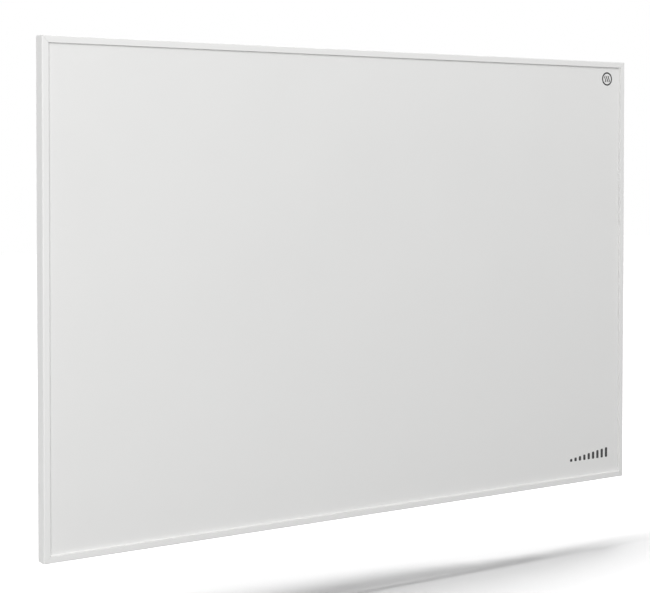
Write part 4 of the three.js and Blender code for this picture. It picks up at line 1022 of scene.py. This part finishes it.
class PANEL_HEATER_OT_hangers(bpy.types.Operator):
    """Models the keyhole hangers and the blind rivets that hold them and the control box"""

    bl_idname = "panel_heater.hangers"
    bl_label = "Hangers and rivets"

    def execute(self, context):
        steel = galvanised_sheet()
        pressed = model_hanger("hanger_pressing")
        for node, name in zip(numbered("hanger_bracket"), numbered("hanger_pressing")):
            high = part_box(node)[1]
            piece = copy_piece(pressed, name)
            place(piece, (middle_of(node).x, high.y, high.z - sizes().hanger_above_screw))
            put_on(piece, HEATER, steel, [node])
        bpy.data.objects.remove(pressed)
        for node, count in (("hanger_rivet", 8), ("box_rivet", 2)):
            low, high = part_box(f"{node}_1")
            tail_start = (low.y - high.y) / MM + RIVET_TAIL_LENGTH + RIVET_HEAD_HEIGHT
            rivet = model_rivet(f"{node}_set", tail_start)
            names = numbered(node, count)
            put_copies(rivet, names, "set", RIVET_HEAD_HEIGHT, -90, HEATER, drawn_aluminium())
        return {"FINISHED"}


# ---------------------------------------------------------------- screws

# The section of a pan head, in shares of its radius and its height.
PAN_HEAD = (
    (0.93, 0.0), (0.99, 0.03), (1.0, 0.1), (1.0, 0.42), (0.97, 0.6), (0.89, 0.77), (0.74, 0.9),
    (0.52, 0.97), (0.0, 1.0),
)
RECESS_REACH = 0.62  # the cross recess, in shares of the head's radius
RECESS_WING = 0.15
RECESS_DEPTH = 0.66  # and of its height
RECESS_TAPER = 0.55
# Head radius, head height and shank radius in millimetres.
LID_SCREW = (2.9, 1.9, 1.5)
LID_SCREW_LENGTH = 11
WALL_SCREW = (5, 3.2, 2.5)


def model_screw(name, head_radius, head_height, shank_radius, length):
    """A pan-head screw with a cross recess, in millimetres. Height 0 is the face under its head."""
    profile = [
        (0, -length),
        (shank_radius * 0.7, -length),
        (shank_radius, -length + shank_radius * 0.5),
        (shank_radius, 0),
        *[(head_radius * across, head_height * up) for across, up in PAN_HEAD],
    ]
    piece = turn_profile(name, in_mm(profile), 40)
    reach = head_radius * RECESS_REACH * MM
    wing = head_radius * RECESS_WING * MM
    top = head_height * MM
    floor = top * (1 - RECESS_DEPTH)
    for x, y in ((reach, wing), (wing, reach)):
        tool = add_block("driver_tool", (-x, -y, floor), (x, y, 2 * top))
        pick(tool, "FACE", lambda face: face.normal.z < -0.9)
        bpy.ops.transform.resize(value=(RECESS_TAPER, RECESS_TAPER, 1))
        combine(piece, tool)
    return finished(piece, 40)


# ---------------------------------------------------------------- control box

BOSS_RADIUS = 3.6 * MM
PILOT_HOLE = 1.8 * MM
PILOT_DEPTH = 11 * MM
BASE_RIM = 0.4 * MM
BASE_EDGE = 0.5 * MM
WINDOW_HALF = (48 * MM, 24 * MM)  # the opening towards the plate
WINDOW_CORNER = 3 * MM
SWITCH_CUT_OUT_HALF = (6.8 * MM, 9.8 * MM)
GLAND_HOLE = 8.3 * MM
LID_EDGE = 0.9 * MM
LID_INNER_EDGE = 0.4 * MM
LID_PANEL_EDGE = 0.8  # of the raised middle's height
RIB_HALF = (9 * MM, 0.7 * MM)
RIB_FROM_SIDES = (22 * MM, 3 * MM)


def round_block(name, low, high, radius):
    """A block whose edges along y are rounded, open for editing."""
    piece = add_block(name, low, high)
    bevel_along(piece, 1, radius, 8)
    return piece


def model_box_base():
    size = sizes()
    low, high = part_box("control_box_base")
    middle = (low + high) / 2
    wall = size.box_wall
    piece = round_block("control_box_base_moulded", low, high, size.box_corner)
    bevel_at(piece, 1, high.y, BASE_RIM, 3)
    bevel_at(piece, 1, low.y, BASE_EDGE, 3)
    pick(piece, "FACE", lambda face: face.normal.y > 0.99 and near(centre_of(face).y, high.y))
    bpy.ops.mesh.inset(thickness=wall - BASE_RIM, depth=0)
    extrude(y=-(high.y - low.y - wall))
    foot = low.y + wall / 2
    screws = [middle_of(name) for name in numbered("lid_screw")]
    for at in screws:
        combine(piece, add_rod("boss", BOSS_RADIUS, (at.x, foot, at.z), high.y - foot, "Y"), "UNION")
    for at in screws:
        bore(piece, PILOT_HOLE, (at.x, high.y - PILOT_DEPTH, at.z), PILOT_DEPTH + 1 * MM, sides=24)
    for name in numbered("box_rivet", 2):
        at = middle_of(name)
        bore(piece, RIVET_HOLE, (at.x, low.y - wall, at.z), 3 * wall, sides=32)
    window = Vector((WINDOW_HALF[0], 2 * wall, WINDOW_HALF[1]))
    at = Vector((middle.x, foot, middle.z))
    combine(piece, round_block("hole", at - window, at + window, WINDOW_CORNER))
    switch = middle_of("switch_housing")
    cut_block(piece, (high.x - wall / 2, switch.y, switch.z), (2 * wall, *SWITCH_CUT_OUT_HALF))
    gland = middle_of("gland_body")
    bore(piece, GLAND_HOLE, (gland.x, gland.y, low.z - wall), 3 * wall, "Z", 64)
    return finished(piece)


def model_box_lid():
    size = sizes()
    low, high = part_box("control_box_lid")
    middle = (low + high) / 2
    outside = high.y - size.lid_panel_rise
    inside = outside - size.box_wall
    top = (high.x, outside, high.z)
    piece = round_block("control_box_lid_moulded", (low.x, inside, low.z), top, size.box_corner)
    bevel_at(piece, 1, outside, LID_EDGE, 4)
    bevel_at(piece, 1, inside, LID_INNER_EDGE, 3)
    margin = size.lid_panel_margin
    bottom = (low.x + margin, outside - 1 * MM, low.z + margin)
    top = (high.x - margin, high.y, high.z - margin)
    panel = round_block("raised_panel", bottom, top, size.box_corner)
    bevel_at(panel, 1, high.y, size.lid_panel_rise * LID_PANEL_EDGE, 4)
    combine(piece, panel, "UNION")
    half_x, half_z = RIB_HALF
    rib_x = (high.x - low.x) / 2 - RIB_FROM_SIDES[0]
    rib_z = (high.z - low.z) / 2 - RIB_FROM_SIDES[1]
    for side_x in (-1, 1):
        for side_z in (-1, 1):
            x = middle.x + side_x * rib_x
            z = middle.z + side_z * rib_z
            top = (x + half_x, inside + 1 * MM, z + half_z)
            combine(piece, add_block("rib", (x - half_x, low.y, z - half_z), top), "UNION")
    for name in numbered("lid_screw"):
        at = middle_of(name)
        bore(piece, PILOT_HOLE, (at.x, inside - 2 * MM, at.z), 6 * MM, sides=32)
    return finished(piece)


class PANEL_HEATER_OT_control_box(bpy.types.Operator):
    """Models the control box, its lid and the lid's screws"""

    bl_idname = "panel_heater.control_box"
    bl_label = "Control box"

    def execute(self, context):
        put_on(model_box_base(), HEATER, white_abs(), ["control_box_base"])
        put_on(model_box_lid(), HEATER, white_abs(), ["control_box_lid"])
        screw = model_screw("lid_screw_turned", *LID_SCREW, LID_SCREW_LENGTH)
        names = numbered("lid_screw")
        put_copies(screw, names, "turned", LID_SCREW[1], -90, HEATER, zinc_plated_steel())
        return {"FINISHED"}


# ---------------------------------------------------------------- mains switch

SWITCH_TILT = 8  # degrees from level, at rest
BEZEL = 2 * MM
BODY_DEPTH = 14 * MM
BLADE_PLACE = 5.5 * MM
BLADE_HALF = (2.4 * MM, 0.4 * MM)
WELL_HALF = (6.2 * MM, 5.5 * MM, 8.5 * MM)
PIVOT_DEPTH = 3 * MM
PIN_HOLE = 1.4 * MM
PIN_RADIUS = 1.1 * MM
PIN_HALF_LENGTH = 6.4 * MM
BEZEL_CORNER = 2 * MM
BEZEL_EDGE = 0.7 * MM
BODY_STEP = 1 * MM
BODY_CORNER = 0.6 * MM


def model_switch_housing():
    low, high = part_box("switch_housing")
    middle = (low + high) / 2
    bezel_back = high.x - BEZEL
    piece = add_block("switch_housing_moulded", (bezel_back, low.y, low.z), high)
    bevel_along(piece, 0, BEZEL_CORNER, 6)
    bevel_at(piece, 0, high.x, BEZEL_EDGE, 4)
    step = BODY_STEP
    body_low = (bezel_back - BODY_DEPTH, low.y + step, low.z + step)
    body = add_block("body", body_low, (bezel_back + step, high.y - step, high.z - step))
    bevel_along(body, 0, BODY_CORNER, 3)
    combine(piece, body, "UNION")
    half_y, half_z = BLADE_HALF
    for side in (-1, 1):
        z = middle.z + side * BLADE_PLACE
        blade_end = (bezel_back - BODY_DEPTH + 0.5 * MM, middle.y + half_y, z + half_z)
        combine(piece, add_block("blade", (low.x, middle.y - half_y, z - half_z), blade_end), "UNION")
    cut_block(piece, (high.x, middle.y, middle.z), WELL_HALF)
    bore(piece, PIN_HOLE, (high.x - PIVOT_DEPTH, low.y, middle.z), high.y - low.y, sides=24)
    soften(piece, 0.15 * MM)
    return finished(piece)


# The rocker's side, in millimetres from its pivot: x outwards and z along the switch.
ROCKER_REACH = 8.2
ROCKER_TIP = math.radians(29)
ROCKER_TIP_X = ROCKER_REACH * math.sin(ROCKER_TIP)
ROCKER_TIP_Z = ROCKER_REACH * math.cos(ROCKER_TIP)
ROCKER_MIDDLE = 2.7
ROCKER_HUB = 2.2
ROCKER_HALF_WIDTH = 5.15 * MM
ROCKER_EDGE = 0.35 * MM
MARK_PLACE = 4.4  # from the pivot along the rocker
MARK_HALF = 0.06  # half a mark's thickness
OFF_MARK = (1.25, 1.85)  # the inner and outer radius of the ring


def rocker_face(z):
    """Where the dished face lies at z, and how steep it is there, in degrees."""
    share = abs(z) / ROCKER_TIP_Z
    rise = ROCKER_TIP_X - ROCKER_MIDDLE
    slope = 1.5 * rise * share**0.5 / ROCKER_TIP_Z * math.copysign(1, z)
    return ROCKER_MIDDLE + rise * share**1.5, math.degrees(math.atan(slope))


def rocker_outline():
    """A shallow dished face between two round ends, and a hub behind it."""
    turns = [ROCKER_TIP * step / 4 for step in range(5)]
    ends = [(ROCKER_REACH * math.sin(turn), ROCKER_REACH * math.cos(turn)) for turn in turns]
    heights = [ROCKER_TIP_Z * (1 - step / 8) for step in range(1, 16)]
    dip = [(rocker_face(z)[0], z) for z in heights]
    lower = [(x, -z) for x, z in reversed(ends)]
    cheek = ROCKER_HUB * 0.7
    return [*ends, *dip, *lower, (-cheek, -cheek), (-ROCKER_HUB, 0), (-cheek, cheek)]


def model_rocker():
    outline = [(x * MM, -ROCKER_HALF_WIDTH, z * MM) for x, z in rocker_outline()]
    piece = draw_chain("switch_rocker_moulded", outline + outline[:1])
    bpy.ops.mesh.remove_doubles(threshold=1e-6)
    bpy.ops.mesh.edge_face_add()
    extrude(y=2 * ROCKER_HALF_WIDTH)
    tidy_mesh(piece)
    soften(piece, ROCKER_EDGE, 3, 50)
    pin = add_rod("pin", PIN_RADIUS, (0, -PIN_HALF_LENGTH, 0), 2 * PIN_HALF_LENGTH, "Y", 24)
    combine(piece, pin, "UNION")
    return finished(piece)


def rocker_mark(piece, z):
    """Lays a mark, made on y-z about the origin, on the rocker's face at z, in millimetres."""
    x, slope = rocker_face(z)
    return place(piece, (x * MM, 0, z * MM), slope)


class PANEL_HEATER_OT_mains_switch(bpy.types.Operator):
    """Models the rocker switch with its on and off marks"""

    bl_idname = "panel_heater.mains_switch"
    bl_label = "Mains switch"

    def execute(self, context):
        black = colours().switch_plastic
        # Black polyamide: the housing is duller than the rocker and a little grainy.
        matt = moulded_plastic("moulded_black_polyamide", black, 0.42, 0.6 * MM, 0.03 * MM)
        # Black polycarbonate: a polished mould gives the rocker its deep gloss.
        glossy = moulded_plastic("polished_black_polycarbonate", black, 0.2, 6 * MM, 0.01 * MM)
        # White tampon print: slightly raised and satin.
        white = moulded_plastic("white_tampon_print", linear("#E8E8E6"), 0.5, 1 * MM, 0.01 * MM)
        put_on(model_switch_housing(), HEATER, matt, ["switch_housing"])
        middle = middle_of("switch_housing")
        pivot = (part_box("switch_housing")[1].x - PIVOT_DEPTH, middle.y, middle.z)
        rocker = model_rocker()
        corner = Vector((MARK_HALF * MM, 0.4 * MM, 1.8 * MM))
        on = add_block("on", -corner, corner)
        bevel_along(on, 0, 0.15 * MM, 2)
        rocker_mark(on, MARK_PLACE)
        inner, outer = OFF_MARK
        ring = [(inner, -MARK_HALF), (outer, -MARK_HALF), (outer, MARK_HALF), (inner, MARK_HALF)]
        off = turn_profile("off", in_mm(ring), 40)
        rocker_mark(place(off, turn=90), -MARK_PLACE)
        marks = join_pieces([on, off], "switch_marks_print")
        put_on(place(marks, pivot, SWITCH_TILT), ROCKER, white)
        put_on(place(rocker, pivot, SWITCH_TILT), ROCKER, glossy, ["switch_rocker"])
        return {"FINISHED"}


# ---------------------------------------------------------------- cable gland

# Sections about the gland's axis in millimetres. Heights run from the outer face of the box wall.
GLAND_TUBE = ((0, -13.3), (7.6, -13.3), (8, -12.9), (8, 8.6), (7.6, 9), (0, 9))
GLAND_DOME = (
    (0, -19.6), (6.4, -19.6), (6.9, -19.4), (7.8, -18.5), (8.5, -17.3), (9.0, -15.7), (9.25, -14),
    (9.3, -12), (0, -12),
)
GLAND_BORE = ((0, -21), (5, -21), (5, -18.6), (8.3, -13.6), (8.3, -4), (0, -4))
# A rubber sleeve with three lips in its bore.
GLAND_SEAL = (
    (3.8, -18.0), (3.9, -18.1), (4.6, -18.1), (4.7, -18.0), (7.6, -13.7), (7.6, -13.6),
    (4.0, -13.6), (3.8, -13.9), (4.1, -14.6), (3.8, -15.3), (4.1, -16.0), (3.8, -16.7), (4.1, -17.4),
)


GLAND_BODY_HEX = (-5.3, -0.3)
GLAND_NUT_HEX = (-12.6, -5.6)
CORD_HOLE = 5 * MM
TURNED_FLAT = 0.985  # of the size across the flats, where a hexagon's end is turned down to a circle
TURNED_SLOPE = 0.58


def model_hex(name, heights, chamfer):
    """A hexagon about z with its corners turned off at one or both ends, given as heights in mm."""
    low, high = heights
    half = sizes().gland_hex / 2
    corner = half / math.cos(math.pi / 6)
    deselect()
    bpy.ops.mesh.primitive_cylinder_add(
        vertices=6,
        radius=corner,
        depth=(high - low) * MM,
        location=(0, 0, (low + high) / 2 * MM),
        rotation=(0, 0, math.pi / 6),
    )
    piece = just_added(name)
    full = corner / MM * 1.02
    flat = half / MM * TURNED_FLAT
    slant = (full - flat) * TURNED_SLOPE
    bottom, top = chamfer
    gap = 0.01
    profile = [(0, low - gap), (flat if bottom else full, low - gap)]
    if bottom:
        profile.append((full, low + slant))
    if top:
        profile.append((full, high - slant))
    profile += [(flat if top else full, high + gap), (0, high + gap)]
    combine(piece, turn_profile("barrel", in_mm(profile), 72), "INTERSECT")
    return piece


def model_gland_body():
    piece = model_hex("gland_body_moulded", GLAND_BODY_HEX, (True, False))
    combine(piece, turn_profile("tube", in_mm(GLAND_TUBE)), "UNION")
    bore(piece, CORD_HOLE, (0, 0, -15 * MM), 26 * MM, "Z")
    soften(piece, 0.2 * MM)
    return finished(piece)


def model_gland_nut():
    piece = model_hex("gland_nut_moulded", GLAND_NUT_HEX, (True, True))
    combine(piece, turn_profile("dome", in_mm(GLAND_DOME)), "UNION")
    combine(piece, turn_profile("bore", in_mm(GLAND_BORE)))
    soften(piece, 0.25 * MM, 3)
    return finished(piece)


class PANEL_HEATER_OT_gland(bpy.types.Operator):
    """Models the cable gland: body, dome nut and rubber seal"""

    bl_idname = "panel_heater.gland"
    bl_label = "Cable gland"

    def execute(self, context):
        # Grey polyamide 6: a waxy half gloss with cloudy flow marks.
        grey = colours().gland_nylon
        nylon = moulded_plastic("moulded_grey_polyamide", grey, 0.38, 0.9 * MM, 0.02 * MM, 0.05)
        # EPDM rubber: black and matt, with a slight bloom.
        rubber = moulded_plastic("epdm_rubber", colours().seal_rubber, 0.75, 0.5 * MM, 0.04 * MM, 0.08)
        middle = middle_of("gland_body")
        at = (middle.x, middle.y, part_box("control_box_base")[0].z)
        put_on(place(model_gland_body(), at), HEATER, nylon, ["gland_body"])
        put_on(place(model_gland_nut(), at), HEATER, nylon, ["gland_nut"])
        seal = turn_profile("gland_seal_moulded", in_mm(GLAND_SEAL))
        shade(seal, 35)
        put_on(place(seal, at), HEATER, rubber, ["gland_seal"])
        finish_nodes(["gland_locknut"], nylon)
        return {"FINISHED"}


# ---------------------------------------------------------------- wiring


class PANEL_HEATER_OT_wiring(bpy.types.Operator):
    """Finishes the terminal block, thermostat, thermal fuse, leads and earth stud"""

    bl_idname = "panel_heater.wiring"
    bl_label = "Wiring"

    def execute(self, context):
        # Glazed steatite: ivory with a hard wet gloss.
        glaze = moulded_plastic("glazed_steatite", colours().ceramic, 0.16, 8 * MM, 0.02 * MM, 0.03)
        # Phenolic moulding: dark brown, flecked by its wood flour.
        phenolic = moulded_plastic("phenolic_moulding", linear("#3B2A22"), 0.4, 0.5 * MM, 0.02 * MM, 0.2)
        finish_nodes(["terminal_block"], glaze)
        finish_nodes(["thermostat"], phenolic)
        finish_nodes(["thermal_fuse", "earth_stud", "earth_nut"], zinc_plated_steel())
        # Silicone sleeves: soft and waxy, in the usual colours of such leads.
        for name, hex_colour, nodes in (
            ("red_silicone_sleeve", "#9A2A22", ["lead_live", "lead_switched"]),
            ("blue_silicone_sleeve", "#2C4F9A", ["lead_neutral"]),
            ("green_silicone_sleeve", "#6E9A2C", ["lead_earth"]),
        ):
            sleeve = moulded_plastic(name, linear(hex_colour), 0.48, 0.8 * MM, 0.02 * MM, 0.05)
            finish_nodes(nodes, sleeve)
        return {"FINISHED"}


# ---------------------------------------------------------------- wall fixings

# A spacer from the wall outwards, in millimetres: a foot, a waist and a round end.
SPACER_PROFILE = (
    (2.9, 0.3), (3.2, 0), (12.6, 0), (12.9, 0.12), (13, 0.4), (13, 2.0), (12.85, 2.4), (12.4, 2.6),
    (11.4, 2.75), (10.5, 3.2), (9.9, 3.9), (9.6, 4.7), (9.5, 5.6), (9.5, 19.5), (9.42, 19.9),
    (9.2, 20.25), (8.85, 20.45), (8.5, 20.5), (3.3, 20.5), (2.9, 20.1),
)


class PANEL_HEATER_OT_wall_fixings(bpy.types.Operator):
    """Models the wall spacers and the screws through them"""

    bl_idname = "panel_heater.wall_fixings"
    bl_label = "Wall fixings"

    def execute(self, context):
        spacer = turn_profile("wall_spacer_turned", in_mm(SPACER_PROFILE), 64)
        shade(spacer, 40)
        names = numbered("wall_spacer")
        put_copies(spacer, names, "turned", 0, 90, WALL_FIXINGS, white_abs())
        low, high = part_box("wall_screw_1")
        length = (high.y - low.y) / MM - WALL_SCREW[1]
        screw = model_screw("wall_screw_turned", *WALL_SCREW, length)
        names = numbered("wall_screw")
        put_copies(screw, names, "turned", length, 90, WALL_FIXINGS, zinc_plated_steel())
        return {"FINISHED"}


# ---------------------------------------------------------------- add-on


OPERATORS = (
    PANEL_HEATER_OT_stage,
    PANEL_HEATER_OT_frame,
    PANEL_HEATER_OT_plate,
    PANEL_HEATER_OT_plate_marks,
    PANEL_HEATER_OT_sandwich,
    PANEL_HEATER_OT_hangers,
    PANEL_HEATER_OT_control_box,
    PANEL_HEATER_OT_mains_switch,
    PANEL_HEATER_OT_gland,
    PANEL_HEATER_OT_wiring,
    PANEL_HEATER_OT_wall_fixings,
)


class PANEL_HEATER_PT_pieces(bpy.types.Panel):
    """Lists the pieces to make, their sizes and their colours"""

    bl_idname = "PANEL_HEATER_PT_pieces"
    bl_label = "Panel Heater"
    bl_space_type = "VIEW_3D"
    bl_region_type = "UI"
    bl_category = "Panel Heater"

    def draw(self, context):
        column = self.layout.column()
        for operator in OPERATORS:
            column.operator(operator.bl_idname)
        for settings in (context.scene.panel_heater_sizes, context.scene.panel_heater_colours):
            column.separator()
            for name in settings.__annotations__:
                column.prop(settings, name)


CLASSES = (PanelHeaterSizes, PanelHeaterColours, *OPERATORS, PANEL_HEATER_PT_pieces)


def register():
    for item in CLASSES:
        bpy.utils.register_class(item)
    bpy.types.Scene.panel_heater_sizes = bpy.props.PointerProperty(type=PanelHeaterSizes)
    bpy.types.Scene.panel_heater_colours = bpy.props.PointerProperty(type=PanelHeaterColours)


def unregister():
    del bpy.types.Scene.panel_heater_colours
    del bpy.types.Scene.panel_heater_sizes
    for item in reversed(CLASSES):
        bpy.utils.unregister_class(item)


def main():
    register()
    bpy.ops.panel_heater.stage()
    bpy.ops.panel_heater.frame()
    bpy.ops.panel_heater.plate()
    bpy.ops.panel_heater.plate_marks()
    bpy.ops.panel_heater.sandwich()
    bpy.ops.panel_heater.hangers()
    bpy.ops.panel_heater.control_box()
    bpy.ops.panel_heater.mains_switch()
    bpy.ops.panel_heater.gland()
    bpy.ops.panel_heater.wiring()
    bpy.ops.panel_heater.wall_fixings()


if __name__ == "__main__":
    main()
